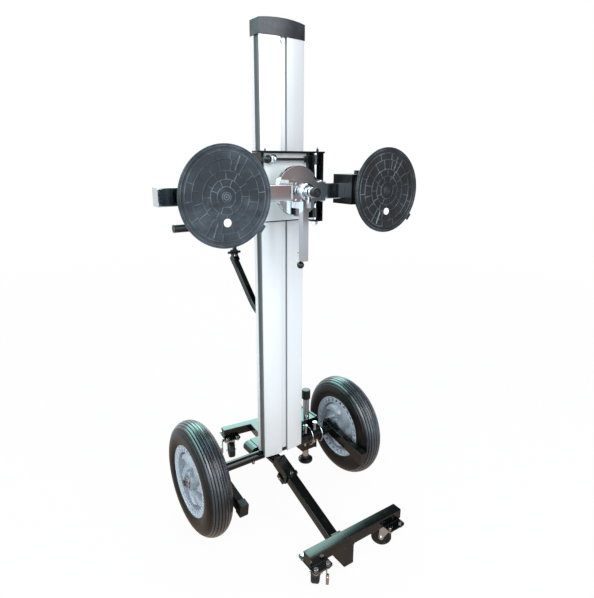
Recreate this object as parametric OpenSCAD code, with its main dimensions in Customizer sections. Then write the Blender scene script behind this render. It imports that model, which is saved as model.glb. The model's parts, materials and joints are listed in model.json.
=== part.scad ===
// Glass trolley: a two-wheeled carriage with a tall mast and a lifting, turning suction head.
// Millimetres. The viewer's right is +X, the back is +Y, up is +Z. The origin lies on the floor,
// straight below the middle of the axle.

/* [Mast] */
// Width of the mast
mast_w = 154; // [146:1:160]
// Depth from the axle line to the middle of the bowed front
mast_front = 45; // [44:1:48]
// Rise of the bowed front over its corners
mast_bow = 8; // [5:1:10]
// Depth of the mast body behind the axle line
mast_rear = 7; // [5:1:9]
// Height of the mast's lower end over the floor
mast_foot_z = 199; // [196:1:204]
// Length of the mast
mast_len = 1331; // [1300:1:1500]
// Wall of the mast extrusion
mast_wall = 4; // [3:0.5:5]
// Width of the front slot
slot_w = 23; // [18:1:26]
// Depth of the front slot
slot_d = 7; // [4:0.5:9]
// Width of the guide groove in each side
groove_w = 22; // [18:1:24]
// Depth of the guide groove in each side
groove_d = 5; // [3:0.5:6]
// Width of the rear web of the mast
web_w = 76; // [66:1:84]
// Depth of the rear web of the mast
web_d = 53; // [45:1:55]
// Height of the cap over the mast's end
cap_h = 43; // [36:1:50]
// Rise of the cap's crowned top
cap_crown = 5; // [2:0.5:8]

/* [Wheels and axle] */
// Outer diameter of the tyres
tyre_d = 380; // [376:1:384]
// Width of the tyres
tyre_w = 88; // [80:1:90]
// Radial height of a tyre's section
tyre_section = 94; // [90:1:98]
// Radius of the rim's outer edge
rim_r = 118.3; // [114:0.1:120]
// Distance of each wheel's middle from the middle of the axle
wheel_x = 306; // [300:1:312]
// Length of a wheel's hub
hub_len = 80; // [76:1:84]
// Diameter of the axle tube
axle_d = 32; // [30:0.5:34]
// Diameter of the axle's end spindles
spindle_d = 20; // [16:1:24]

/* [Front leg] */
// Slope of the front leg in degrees
leg_slope = 19.3; // [18:0.1:20]
// Width of the leg tube
leg_w = 34.5; // [30:0.5:38]
// Height of the leg tube
leg_h = 31; // [28:0.5:34]
// Side offset of the leg's middle
leg_x = -23.2; // [-26:0.1:-20]
// Wall of the leg's socket
socket_wall = 3; // [2.5:0.5:5]
// Distance of the front bar in front of the axle
bar_y = 411; // [405:1:420]
// Side offset of the front bar's middle
bar_x = 10.3; // [6:0.1:14]

/* [Bars and castors] */
// Length of each castor bar
bar_len = 356; // [350:1:380]
// Side of the bars' square section
bar_side = 34; // [32:1:38]
// Underside of the bars over the floor, which is the castors' height with the plates
bar_z = 91; // [90:1:94]
// Diameter of the castor wheels
castor_d = 64; // [58:1:66]
// Width of the castor wheels
castor_w = 24; // [20:1:26]
// Trail of the castors
castor_trail = 19; // [16:1:21]
// Spacing of each castor's bolts along the bar
bolt_dx = 43; // [42:1:46]
// Spacing of each castor's bolts across the bar
bolt_dy = 64; // [60:1:68]

/* [Rear leg] */
// Rest angle of the rear leg in degrees, as it was left after use
rear_skew = -6.7; // [-9:0.1:-4]
// Distance from the rear pivot to the middle of the rear bar
rear_reach = 188; // [180:1:196]
// Side offset of the rear bar's middle from its leg
rear_offset = 44; // [40:1:48]

/* [Support foot] */
// Diameter of the support rod
prop_d = 24; // [20:1:26]
// Diameter of the support foot
foot_d = 55; // [48:1:60]
// Lift of the foot over the floor when it is raised
foot_lift = 62; // [58:1:66]
// Length of the support rod with its foot and cap
prop_len = 302; // [295:1:310]

/* [Glass support arms] */
// Distance of each arm's middle from the middle of the axle
arm_x = 243.5; // [241:0.5:244]
// Width of an arm
arm_w = 25; // [22:1:27]
// Height of an arm
arm_h = 40; // [38:1:46]
// Slope of the arms in degrees
arm_slope = 10; // [8:0.5:14]
// Reach of an arm from the axle to its front face
arm_len = 192; // [180:1:210]

/* [Carriage] */
// Height of the carriage's lower edge at rest
carriage_z = 1015; // [1000:1:1030]
// Height of the carriage
carriage_h = 197; // [190:1:204]
// Thickness of the carriage's plates
plate_t = 6; // [5:0.5:6]
// Distance of the head's hinge pin to the right of the middle
hinge_x = 98; // [96:1:102]
// Diameter of the hinge pin
hinge_d = 12; // [10:1:13]

/* [Suction head] */
// Height of the crossbar's middle at rest
head_z = 1104.5; // [1098:0.5:1110]
// Side place of the turntable's axis
head_x = -4; // [-8:1:0]
// Diameter of the turntable disc
disc_d = 145; // [135:1:150]
// Thickness of the turntable disc
disc_t = 17; // [14:1:18]
// Height of the crossbar
cross_h = 45; // [42:1:48]
// Depth of the crossbar
cross_d = 36; // [34:1:38]
// Left end of the crossbar
cross_x0 = -438; // [-450:1:-430]
// Right end of the crossbar
cross_x1 = 362; // [360:1:380]
// Diameter of the suction pads
pad_d = 250; // [240:1:254]
// Depth of a rubber pad
pad_t = 24; // [20:1:28]
// Side place of the left pad
pad_left_x = -291; // [-296:1:-286]
// Side place of the right pad
pad_right_x = 247; // [242:1:252]
// Length of the lever that turns the head
lever_len = 174; // [160:1:176]

/* [Handle and winch] */
// Side of the handle tube
handle_side = 22; // [20:1:24]
// Slope of the handle arm from upright in degrees
handle_tilt = 45; // [43:1:47]
// Length of the straight part of the handle arm
handle_len = 180; // [175:1:184]
// Width of the handle's grip bar
grip_w = 466; // [440:1:480]
// Diameter of the grips
grip_d = 27; // [24:1:30]
// Height of the winch drum's axis
winch_z = 820; // [810:1:830]
// Radius of the winch drum
drum_r = 30; // [26:1:34]

/* [Hidden] */
$fn = 64;
gap = 0.3;          // between pieces that seat on each other
fit = 0.05;         // radial clearance of a running fit
edge_r = 3;         // corner radius of the square tubes

axle_r = axle_d / 2;
axle_z = tyre_d / 2;
spindle_r = spindle_d / 2;
mast_top_z = mast_foot_z + mast_len;
bow_r = (pow(mast_w / 2, 2) + pow(mast_bow, 2)) / (2 * mast_bow);
groove_y0 = mast_bow - mast_front + 5;
notch_z = axle_z + axle_r + 4.6;
web_back = mast_rear + web_d;

leg_ref = [leg_x, -103, axle_z - 39.6];
bar_top_z = bar_z + bar_side;
post_y0 = -bar_y - bar_side / 2 + 1;
post_y1 = -bar_y + 51;
post_z0 = 24;
castor_plate = [60, 84, 3];
adapter = [65, 87, 3];
castor_top_z = bar_z - adapter.z;
castor_r = castor_d / 2;
fork_gap = 1;
fork_t = 2.5;
front_castor_x = [-bar_len / 2 + 30.7, bar_len / 2 - 36.3];
front_trail = [47, 135];
rear_castor_u = [rear_offset - bar_len / 2 + 30.7, rear_offset + bar_len / 2 - 36];
rear_trail = [253 - rear_skew, 62 - rear_skew];

pivot = [54, 130];
pivot_r = 10;
hub_r = 21;

beam = [[-98, 123.7], [21, 80], [170, 208]];
prop_at = [151, 38];
prop_box = [[124, 192], [axle_r + 5.3, 120], [118, 247]];
prop_r = prop_d / 2;
socket_r = axle_r + 5;
socket_x = [80, 190];
linch_x = [122, 165];
linch_r = 4;
bow_wire_r = 2;
bow_arc_r = 36;
bow_side = 10.5;

arm_collar_x = [arm_x - arm_w / 2, arm_x + arm_w / 2];

carriage_top = carriage_z + carriage_h;
frame_front = -mast_front - 12;
swing_back = frame_front - 3;
swing_front = swing_back - plate_t;
hinge_y = swing_front - 6;
hinge_r = hinge_d / 2;
latch_y = swing_front - 13;
latch_z = carriage_top - 18;
hub_front = swing_front - 46;
disc_front = hub_front - gap - disc_t;
cross_back = disc_front - 2.7;
cross_front = cross_back - cross_d;
saddle_x = [-54, 62];
saddle_front = cross_front - gap - 3;
saddle_half = cross_h / 2 + gap + 3.4;
lever_side = 20;
lever_x = -8;
rod_y = saddle_front + lever_side + 5.3;
rod_r = 3;
knob_x = -9;
pad_front = -238;
pad_back = pad_front + pad_t;
block_back = cross_back + 20;
block_inner = 109;
block_outer = 65;
block_top = 47;
plunger_r = 8;
plunger_dx = -49;
plunger_travel = 9.5;

grip_x = -20;
handle_bend = 150;
handle_foot_tilt = 70;
elbow = [web_back + 69.8, 719.7];
bend_at = elbow + handle_bend * [-cos(handle_tilt), sin(handle_tilt)];
foot_at = bend_at + handle_bend * [cos(handle_foot_tilt), -sin(handle_foot_tilt)];
clevis_off = 17.5;
clevis = elbow + (handle_len + 14) * [sin(handle_tilt), cos(handle_tilt)]
    - clevis_off * [cos(handle_tilt), -sin(handle_tilt)];
grip_at = [clevis.x - 25.4, clevis.y + 104];
winch_y = web_back + 45;
winch_x = [20, 80];

module box(x, y, z) translate([x[0], y[0], z[0]]) cube([x[1] - x[0], y[1] - y[0], z[1] - z[0]]);

module rod_x(r, x, y, z) translate([x[0], y, z]) rotate([0, 90, 0]) cylinder(r = r, h = x[1] - x[0]);

module rod_y(r, x, y, z) translate([x, y[0], z]) rotate([-90, 0, 0]) cylinder(r = r, h = y[1] - y[0]);

module rod_z(r, x, y, z) translate([x, y, z[0]]) cylinder(r = r, h = z[1] - z[0]);

module hex_z(across, h) cylinder(d = across / cos(30), h = h, $fn = 6);

// A rectangle with round corners, centred
module soft_rect(w, h, r = edge_r) {
    square([w - 2 * r, h], center = true);
    square([w, h - 2 * r], center = true);
    for (sx = [-1, 1], sy = [-1, 1])
        translate([sx * (w / 2 - r), sy * (h / 2 - r)]) circle(r = r, $fn = 24);
}

// A rectangle with chamfered corners, centred
module chamfer_rect(w, h, c = edge_r - 1) polygon([
    for (q = [[1, 1], [-1, 1], [-1, -1], [1, -1]])
        for (k = q.x * q.y > 0 ? [0, 1] : [1, 0]) [q.x * (w / 2 - c * k), q.y * (h / 2 - c * (1 - k))]]);

// A square bar along X, centred on the X axis
module bar_x_solid(x0, x1, depth, height)
    translate([x0, 0, 0]) rotate([90, 0, 90]) linear_extrude(x1 - x0) soft_rect(depth, height);

// A square bar along -Y, centred on the Y axis
module bar_y_solid(y0, y1, width, height, r = edge_r)
    translate([0, y1, 0]) rotate([90, 0, 0]) linear_extrude(y1 - y0) soft_rect(width, height, r);

// The mast's outline seen from above, grown by g
module mast_plan(g = 0) {
    intersection() {
        translate([-mast_w / 2 - g, -mast_front - g]) square([mast_w + 2 * g, mast_front + mast_rear + 2 * g]);
        translate([0, bow_r - mast_front]) circle(r = bow_r + g, $fn = 360);
    }
    translate([-web_w / 2 - g, 0]) square([web_w + 2 * g, web_back + g]);
}

module mast_section() difference() {
    mast_plan();
    translate([-slot_w / 2 + 0.5, -mast_front - 1]) square([slot_w, slot_d + 1]);
    for (s = [-1, 1])
        translate([s * mast_w / 2 - groove_d, groove_y0]) square([2 * groove_d, groove_w]);
    difference() {
        union() {
            intersection() {
                translate([-mast_w / 2 + groove_d + mast_wall, -mast_front])
                    square([mast_w - 2 * (groove_d + mast_wall), mast_front + mast_rear - mast_wall]);
                translate([0, bow_r - mast_front]) circle(r = bow_r - mast_wall, $fn = 360);
            }
            translate([-web_w / 2 + mast_wall, mast_rear])
                square([web_w - 2 * mast_wall, web_d - mast_wall]);
        }
        translate([-slot_w / 2 - mast_wall + 0.5, -mast_front])
            square([slot_w + 2 * mast_wall, slot_d + mast_wall]);
    }
}

module mast() color("gainsboro") difference() {
    translate([0, 0, mast_foot_z]) linear_extrude(mast_len) mast_section();
    box([-mast_w, mast_w], [-axle_r - 4, web_back + 1], [mast_foot_z - 1, notch_z]);
    box([-slot_w / 2 + 0.5, slot_w / 2 + 0.5], [-mast_front - 1, -axle_r - 3], [mast_foot_z - 1, mast_foot_z + 14]);
}

module mast_cap() color("#202226") difference() {
    crown_r = (pow(mast_w / 2, 2) + pow(cap_crown, 2)) / (2 * cap_crown);
    intersection() {
        translate([0, 0, mast_top_z - 4]) linear_extrude(cap_h + 8) mast_plan(2);
        rod_y(crown_r, 0, [-mast_front - 9, web_back + 9], mast_top_z + cap_h - crown_r);
    }
    translate([0, 0, mast_top_z - 5]) linear_extrude(5 + gap) mast_plan(gap);
}

// The welded foot of the mast: cross beam, foot plate, pivot lug and the sloping leg socket
module foot_frame() color("#1b1c1f") {
    beam_h = beam.z[1] - beam.z[0];
    difference() {
        union() {
            box([beam.x[0] + beam_h / 2, beam.x[1]], beam.y, beam.z);
            rod_y(beam_h / 2, beam.x[0] + beam_h / 2, beam.y, (beam.z[0] + beam.z[1]) / 2);
            box([-70, 70], [-axle_r - 3, beam.y[1]], [axle_z + axle_r + gap, notch_z - gap]);
            for (x = [-60, 50]) box([x - 10, x + 10], [3, beam.y[0] + 1], [172, axle_z + axle_r + 1]);
            box([leg_x - 21, leg_x + 21], [-52, beam.y[0] + 19], [160, beam.z[0] + 1]);
            box([pivot.x - 24, pivot.x + 24], [beam.y[1] - 1, pivot.y + hub_r], [beam.z[0] + 5, beam.z[1]]);
        }
        rod_x(axle_r + gap, [-130, 130], 0, axle_z);
        leg_space();
    }
    rod_z(pivot_r, pivot.x, pivot.y, [bar_z - 2, beam.z[0] + 6]);
    leg_socket();
}

// Runs along the front leg: local -Y points down the slope
module along_leg() translate(leg_ref) rotate([leg_slope, 0, 0]) children();

module leg_space() along_leg() bar_y_solid(-60, 92, leg_w + 2 * gap, leg_h + 2 * gap);

module leg_socket() difference() {
    along_leg() difference() {
        union() {
            bar_y_solid(-17, 66, leg_w + 2 * (socket_wall + gap), leg_h + 2 * (socket_wall + gap));
            translate([0, 8, -leg_h / 2 - 7])
                cube([leg_w + 2 * socket_wall + 10, 36, 18], center = true);
            bar_y_solid(-19, -8, leg_w + 2 * (socket_wall + gap) + 5, leg_h + 2 * (socket_wall + gap) + 4);
        }
        bar_y_solid(-60, 92, leg_w + 2 * gap, leg_h + 2 * gap);
    }
    rod_x(axle_r + gap, [-130, 130], 0, axle_z);
    box([-60, 20], [-axle_r - 1, 60], [120, 240]);
    box([-mast_w / 2, mast_w / 2], [-mast_front - 1, 60], [mast_foot_z - gap, 240]);
}

module axle() color("#232427") difference() {
    shoulder = wheel_x - hub_len / 2 - gap;
    union() {
        rod_x(axle_r, [-shoulder, shoulder], 0, axle_z);
        rod_x(spindle_r, [-wheel_x - hub_len / 2 - 14, wheel_x + hub_len / 2 + 14], 0, axle_z);
    }
    for (x = linch_x) rod_z(linch_r + gap, x, 0, [axle_z - 40, axle_z + 40]);
}

module axle_nuts() color("silver") for (s = [-1, 1])
    translate([s * (wheel_x + hub_len / 2 + 6 + gap), 0, axle_z]) rotate([0, 90, 0]) difference() {
        union() {
            translate([0, 0, -6]) hex_z(1.5 * spindle_d, 12);
            translate([0, 0, s > 0 ? -6 : 4]) cylinder(r = spindle_r + 8, h = 2);
        }
        cylinder(r = spindle_r + gap, h = 30, center = true);
    }

// Linch pins that lock the right half of the axle in its socket
module linch_pins() color("silver") for (x = linch_x) difference() {
    union() {
        rod_z(linch_r, x, 0, [axle_z - socket_r - 13, axle_z + socket_r + 9]);
        rod_z(linch_r + 3.5, x, 0, [axle_z + socket_r + gap, axle_z + socket_r + 31]);
    }
    rod_x(bow_wire_r + fit, [x - 10, x + 10], 0, axle_z + 8 + bow_arc_r);
}

module bow(x) color("silver") {
    rod_x(bow_wire_r, [x - 7, x + bow_side + bow_wire_r], 0, axle_z + 8 + bow_arc_r);
    translate([x + bow_side, 0, axle_z + 8]) rotate([0, 90, 0]) rotate([0, 0, 180])
        rotate_extrude(angle = 155) translate([bow_arc_r, 0]) circle(r = bow_wire_r, $fn = 24);
}

module bow_inner() bow(linch_x[0]);

module bow_outer() bow(linch_x[1]);

module castor_bolts() for (sx = [-1, 1], sy = [-1, 1])
    translate([sx * bolt_dx / 2, sy * bolt_dy / 2, 0]) {
        translate([0, 0, bar_z]) hex_z(13, 5);
        translate([0, 0, castor_top_z - 12]) cylinder(d = 8, h = bar_z - castor_top_z + 12.5);
        translate([0, 0, castor_top_z - castor_plate.z - 6.5]) hex_z(13, 6.5);
    }

// Bolts of the front castors, the leg's set screws, the axle's set screw and the slot's end stop
module frame_bolts() color("silver") {
    for (x = front_castor_x) translate([bar_x + x, -bar_y, 0]) castor_bolts();
    along_leg() for (s = [-1, 1])
        translate([s * (leg_w / 2 + socket_wall + 5 + gap), 8, -leg_h / 2 - 4])
            rotate([0, s * 90, 0]) hex_z(10, 5);
    along_leg() translate([0, -13, leg_h / 2 + socket_wall + 2 + 2 * gap]) hex_z(10, 4);
    translate([-102, 0, axle_z - axle_r - 10]) hex_z(10, 10 - gap);
    translate([-3.5, -mast_front + slot_d - gap, mast_top_z - 15]) rotate([90, 0, 0]) hex_z(10, 9);
}

module front_leg() color("#1b1c1f") difference() {
    along_leg() difference() {
        bar_y_solid(-300, 60, leg_w, leg_h);
        bar_y_solid(-310, 70, leg_w - 5, leg_h - 5, 1);
    }
    box([-60, 20], [post_y0 - 100, post_y1 + gap], [0, 120]);
    rod_x(axle_r + 2, [-60, 20], 0, axle_z);
}

module adapter_plate(at) translate([at.x, at.y, bar_z - adapter.z]) difference() {
    linear_extrude(adapter.z) soft_rect(adapter.x, adapter.y, 9);
    for (sx = [-1, 1], sy = [-1, 1])
        translate([sx * bolt_dx / 2, sy * bolt_dy / 2, -1]) cylinder(d = 8.6, h = 6);
}

module front_bar() color("#1b1c1f") {
    translate([bar_x, -bar_y, bar_z + bar_side / 2]) bar_x_solid(-bar_len / 2, bar_len / 2, bar_side, bar_side);
    translate([leg_x, 0, 0]) difference() {
        box([-leg_w / 2, leg_w / 2], [post_y0, post_y1], [post_z0, bar_z + 1]);
        box([-leg_w / 2 + 3, leg_w / 2 - 3], [post_y0 + 3, post_y1 - 3], [post_z0 - 1, bar_z - 6]);
    }
    for (x = front_castor_x) adapter_plate([bar_x + x, -bar_y]);
}

// The fixed half of a castor: top plate and kingpin
module castor_top(at) translate([at.x, at.y, castor_top_z - castor_plate.z]) difference() {
    union() {
        linear_extrude(castor_plate.z) soft_rect(castor_plate.x, castor_plate.y, 8);
        translate([0, 0, -14]) cylinder(r = 8, h = 15);
    }
    for (sx = [-1, 1], sy = [-1, 1])
        translate([sx * bolt_dx / 2, sy * bolt_dy / 2, -1]) cylinder(d = 8.6, h = 6);
}

module front_castor_tops() color("silver") for (x = front_castor_x) castor_top([bar_x + x, -bar_y]);

module on_rear() translate([pivot.x, pivot.y, 0]) rotate([0, 0, rear_skew]) children();

module rear_leg() color("#1b1c1f") on_rear() {
    difference() {
        union() {
            translate([0, 0, bar_z]) cylinder(r = hub_r, h = beam.z[0] + 5 - gap - bar_z);
            translate([0, 0, bar_z + bar_side / 2]) bar_y_solid(8, rear_reach, bar_side, bar_side);
        }
        translate([0, 0, bar_z - 1]) cylinder(r = pivot_r + fit, h = 120);
    }
    translate([rear_offset, rear_reach, bar_z + bar_side / 2]) bar_x_solid(-bar_len / 2, bar_len / 2, bar_side, bar_side);
    for (u = rear_castor_u) adapter_plate([u, rear_reach]);
}

module rear_castor_tops() color("silver") on_rear() for (u = rear_castor_u) castor_top([u, rear_reach]);

module rear_bolts() color("silver") on_rear() for (u = rear_castor_u)
    translate([u, rear_reach, 0]) castor_bolts();

// Stands a castor piece at castor i: front left, front right, rear left, rear right.
// Local +X is the trail, and the brake hangs on the -Y side.
module at_castor(i)
    if (i < 2) translate([bar_x + front_castor_x[i], -bar_y, 0]) rotate([0, 0, front_trail[i]]) children();
    else on_rear() translate([rear_castor_u[i - 2], rear_reach, 0]) rotate([0, 0, rear_trail[i - 2]]) children();

ear_y = castor_w / 2 + fork_gap + fork_t;
brake_z = castor_top_z - castor_plate.z - 20;

module fork(i) color("silver") at_castor(i) {
    crown_z = castor_top_z - castor_plate.z - 13.5;
    difference() {
        union() {
            translate([0, 0, crown_z + 3]) cylinder(r1 = 20, r2 = 24, h = 10.2);
            translate([0, 0, crown_z]) cylinder(r = 22, h = 3);
            box([-14, 24], [-ear_y, ear_y], [crown_z, crown_z + 3]);
        }
        translate([0, 0, crown_z - 1]) cylinder(r = 8 + fit, h = 20);
    }
    for (s = [-1, 1]) translate([0, s * (ear_y - fork_t / 2), 0]) rotate([90, 0, 0])
        translate([0, 0, -fork_t / 2]) linear_extrude(fork_t)
            polygon([[-14, crown_z + 3], [24, crown_z + 3], [castor_trail + 8, castor_r + 2],
                     [castor_trail + 6, castor_r - 6], [castor_trail - 6, castor_r - 6],
                     [castor_trail - 8, castor_r + 2]]);
    rod_y(4, castor_trail, [-ear_y - 5, ear_y + 5], castor_r);
    for (s = [-1, 1]) box([s * 10.5 - 1.5, s * 10.5 + 1.5], [-ear_y - 8, -ear_y + 1], [brake_z - 4, crown_z + 3]);
    rod_x(2, [-12, 12], -ear_y - 5, brake_z);
}

module castor_wheel(i) color("#222326") at_castor(i) translate([castor_trail, 0, castor_r])
    rotate([90, 0, 0]) rotate_extrude()
        polygon([[4 + fit, -castor_w / 2], [13, -castor_w / 2], [15, -castor_w / 2 + 3],
                 [castor_r - 9, -castor_w / 2 + 3], [castor_r - 7, -castor_w / 2], [castor_r - 3, -castor_w / 2],
                 [castor_r, -castor_w / 2 + 4], [castor_r, castor_w / 2 - 4], [castor_r - 3, castor_w / 2],
                 [castor_r - 7, castor_w / 2], [castor_r - 9, castor_w / 2 - 3], [15, castor_w / 2 - 3],
                 [13, castor_w / 2], [4 + fit, castor_w / 2]]);

// Brake lever: a knuckle on the fork's pin, an arm and a hanging tread
module brake(i) color("silver") at_castor(i) {
    tread_y = ear_y + 19;
    difference() {
        union() {
            rod_x(4, [-8.7, 8.7], -ear_y - 5, brake_z);
            box([-8.7, 8.7], [-tread_y, -ear_y - 5], [brake_z + 0.5, brake_z + 3.5]);
        }
        rod_x(2 + fit, [-10, 10], -ear_y - 5, brake_z);
    }
    translate([0, -tread_y + 3, 0]) rotate([90, 0, 0]) linear_extrude(3) {
        translate([-8.7, 19]) square([17.4, brake_z - 15.5]);
        translate([0, 19]) circle(r = 8.7);
    }
}

module fork_front_left() fork(0);
module fork_front_right() fork(1);
module fork_rear_left() fork(2);
module fork_rear_right() fork(3);
module castor_front_left() castor_wheel(0);
module castor_front_right() castor_wheel(1);
module castor_rear_left() castor_wheel(2);
module castor_rear_right() castor_wheel(3);
module brake_front_left() brake(0);
module brake_front_right() brake(1);
module brake_rear_left() brake(2);
module brake_rear_right() brake(3);

// Housing of the support foot, with the axle's socket tube welded to its front
module prop_housing() color("#1b1c1f") difference() {
    union() {
        box(prop_box.x, prop_box.y, prop_box.z);
        box([prop_box.x[1] - 6, prop_box.x[1]], [prop_box.y[0], prop_box.y[1] + 3], [prop_box.z[0] - 3, prop_box.z[1] + 3]);
        rod_x(socket_r, socket_x, 0, axle_z);
        box([prop_box.x[0], prop_box.x[0] + 12], [0, prop_box.y[0] + 1], [axle_z - 19, axle_z + 19]);
        box([socket_x[1] - 22, socket_x[1] - 10], [0, prop_box.y[0] + 1], [axle_z - 19, axle_z + 19]);
    }
    rod_x(axle_r + gap, [socket_x[0] - 1, socket_x[1] + 9], 0, axle_z);
    rod_z(prop_r + fit, prop_at.x, prop_at.y, [prop_box.z[0] - 5, prop_box.z[1] + 5]);
    for (x = linch_x) rod_z(linch_r + gap, x, 0, [axle_z - 40, axle_z + 40]);
}

module prop_rod() color("silver")
    rod_z(prop_r, prop_at.x, prop_at.y, [foot_lift + 10, foot_lift + prop_len - 8]);

module prop_cap() color("#202226") difference() {
    rod_z(prop_r + 4, prop_at.x, prop_at.y, [foot_lift + prop_len - 36, foot_lift + prop_len]);
    rod_z(prop_r + gap, prop_at.x, prop_at.y, [foot_lift + prop_len - 40, foot_lift + prop_len - 8 + gap]);
}

module prop_foot() color("#202226") translate([prop_at.x, prop_at.y, foot_lift]) difference() {
    rotate_extrude() polygon([[0, 0], [foot_d / 2 - 2, 0], [foot_d / 2, 3], [foot_d / 2, 10],
                              [foot_d / 2 - 5, 14], [prop_r + 5, 16], [prop_r + 4, 22], [0, 22]]);
    translate([0, 0, 10 - gap]) cylinder(r = prop_r + gap, h = 20);
}

// Half section of the tyre's outline: radius and side offset at angle a round the section
function tyre_point(a, depth = 0) = [
    axle_z - tyre_section / 2 + (tyre_section / 2 - depth) * sin(a),
    (tyre_w / 2 - depth) * cos(a)
];
bead_a = asin((rim_r + gap - axle_z + tyre_section / 2) / (tyre_section / 2));
rib_step = 13;
rib_count = 7;
tread_a = 90 - rib_step * rib_count / 2;

module tyre(x) color("#2b2c30") translate([x, 0, axle_z]) rotate([0, 90, 0]) rotate_extrude()
    polygon(concat(
        [for (k = [0:5]) tyre_point(bead_a + k * (tread_a - bead_a) / 5)],
        [for (k = [0:rib_count - 1], q = [[1, 0], [2, 2.5], [4, 2.5], [5, 0]])
            tyre_point(tread_a + rib_step * (k + q[0] / 6), q[1])],
        [for (k = [0:5]) tyre_point(180 - tread_a + k * (tread_a - bead_a) / 5)]));

module tyre_left() tyre(-wheel_x);
module tyre_right() tyre(wheel_x);

module rim(x) color("#9b9fa6") translate([x, 0, axle_z]) rotate([0, 90, 0]) {
    hub = hub_len / 2;
    face = [[spindle_r + fit, hub], [28, hub], [32, hub - 9], [44, 16], [74, 11], [90, 18], [97, 31],
            [102, 34], [104, 39.5], [rim_r, 39.5]];
    rotate_extrude() polygon(concat(face, [for (k = [len(face) - 1:-1:0]) [face[k].x, -face[k].y]]));
    for (s = [-1, 1], k = [0:3]) rotate([0, 0, 90 * k]) rim_swirl(s);
}

// A curved rib that sweeps from the hub out to the rim on side s
module rim_swirl(s) translate([0, 0, s > 0 ? 9 : -29]) linear_extrude(20) intersection() {
    translate([50, 0]) difference() {
        circle(r = 47);
        circle(r = 42);
    }
    difference() {
        circle(r = 97);
        circle(r = 33);
    }
    translate([0, 0]) square([120, 120]);
}

module rim_left() rim(-wheel_x);
module rim_right() rim(wheel_x);

// Glass support arm on side s, turned down by its slope
module on_arm(s) translate([s * arm_x, 0, axle_z]) rotate([arm_slope, 0, 0]) children();

module arm(s) color("#1b1c1f") on_arm(s) difference() {
    bar_y_solid(-arm_len + 4, 30, arm_w, arm_h);
    bar_y_solid(-arm_len, -axle_r - 8, arm_w - 5, arm_h - 5, 1);
    rod_x(axle_r + fit, [-arm_w, arm_w], 0, 0);
}

module arm_caps(s) color("#202226") on_arm(s) {
    difference() {
        bar_y_solid(-arm_len, -arm_len + 26, arm_w + 5, arm_h + 5, 4);
        bar_y_solid(-arm_len + 4 - gap, -arm_len + 30, arm_w + 2 * gap, arm_h + 2 * gap);
    }
    difference() {
        bar_y_solid(18, 34, arm_w + 5, arm_h + 5, 4);
        bar_y_solid(10, 30 + gap, arm_w + 2 * gap, arm_h + 2 * gap);
    }
}

module arm_left() arm(-1);
module arm_right() arm(1);
module arm_caps_left() arm_caps(-1);
module arm_caps_right() arm_caps(1);

// Sliding frame round the mast, with glide ribs in the mast's side grooves
module carriage_frame() color("#1b1c1f") difference() {
    side = mast_w / 2 + 3;
    z = [carriage_z, carriage_top];
    lug_front = hinge_y - 12;
    union() {
        box([-side - plate_t, hinge_x + 22], [frame_front, frame_front + plate_t], z);
        for (s = [-1, 1]) {
            box([s > 0 ? side : -side - plate_t, s > 0 ? side + plate_t : -side], [frame_front, -2], z);
            for (zc = [carriage_z + 32, carriage_top - 32])
                box([s > 0 ? mast_w / 2 - groove_d + 1 : -side - 1, s > 0 ? side + 1 : -mast_w / 2 + groove_d - 1],
                    [groove_y0 + gap, groove_y0 + groove_w - gap], [zc - 30, zc + 30]);
        }
        box([hinge_x + 14, hinge_x + 22], [lug_front, frame_front + 1], [carriage_z - 9, carriage_top]);
        box([-113, hinge_x + 27], [lug_front, frame_front + plate_t], [carriage_top, carriage_top + 5]);
        box([hinge_x - 14, hinge_x + 22], [lug_front, frame_front + plate_t], [carriage_z - 9, carriage_z - 3]);
        box([-76, 40], [swing_front, frame_front + plate_t], [carriage_z - 3, carriage_z]);
    }
    rod_z(hinge_r + fit, hinge_x, hinge_y, [carriage_z - 20, carriage_top + 20]);
}

module hinge_pin() color("silver") {
    rod_z(hinge_r, hinge_x, hinge_y, [carriage_z - 22, carriage_top + 18]);
    translate([hinge_x, hinge_y, carriage_top + 5 + gap]) hex_z(18, 8);
    translate([hinge_x, hinge_y, carriage_z - 9 - gap - 9]) hex_z(18, 9);
    translate([-87, hinge_y, carriage_top + 5]) hex_z(15, 7);
}

module hinge_leaf() color("#1b1c1f") difference() {
    union() {
        box([68, 84], [hinge_y - 4, swing_back], [carriage_z + 3, carriage_top - 4]);
        for (z = [carriage_z + 3, carriage_top - 34]) {
            rod_z(hinge_r + 4, hinge_x, hinge_y, [z, z + 30]);
            box([80, hinge_x], [hinge_y - 2, hinge_y + 4], [z, z + 30]);
        }
        box([58, 70], [latch_y - 7, swing_front - gap], [latch_z - 9, latch_z + 9]);
    }
    rod_z(hinge_r + fit, hinge_x, hinge_y, [carriage_z - 20, carriage_top + 20]);
    rod_x(4 + fit, [50, 66], latch_y, latch_z);
}

module swing_plate() color("gainsboro") difference() {
    union() {
        box([-80, 68 - gap], [swing_front, swing_back], [carriage_z + gap, carriage_top - 1]);
        box([-80, -62], [latch_y - 7, swing_front + 1], [latch_z - 9, latch_z + 9]);
        rod_y(31, head_x, [hub_front, swing_front + 1], head_z);
        rod_y(15, head_x, [disc_front + 2, hub_front + 1], head_z);
    }
    rod_x(4 + fit, [-90, -50], latch_y, latch_z);
}

// Latch bar with a cam on its left end and a ball lever
module latch_bar() color("#202226") {
    rod_x(4, [-98, 65], latch_y, latch_z);
    rod_x(12, [-61.5, -54], latch_y, latch_z);
    rod_x(10, [-90, -80 - gap], latch_y, latch_z);
    rod_y(3.5, -94, [latch_y - 20, latch_y], latch_z);
    translate([-94, latch_y - 26, latch_z]) sphere(r = 12);
}

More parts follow.
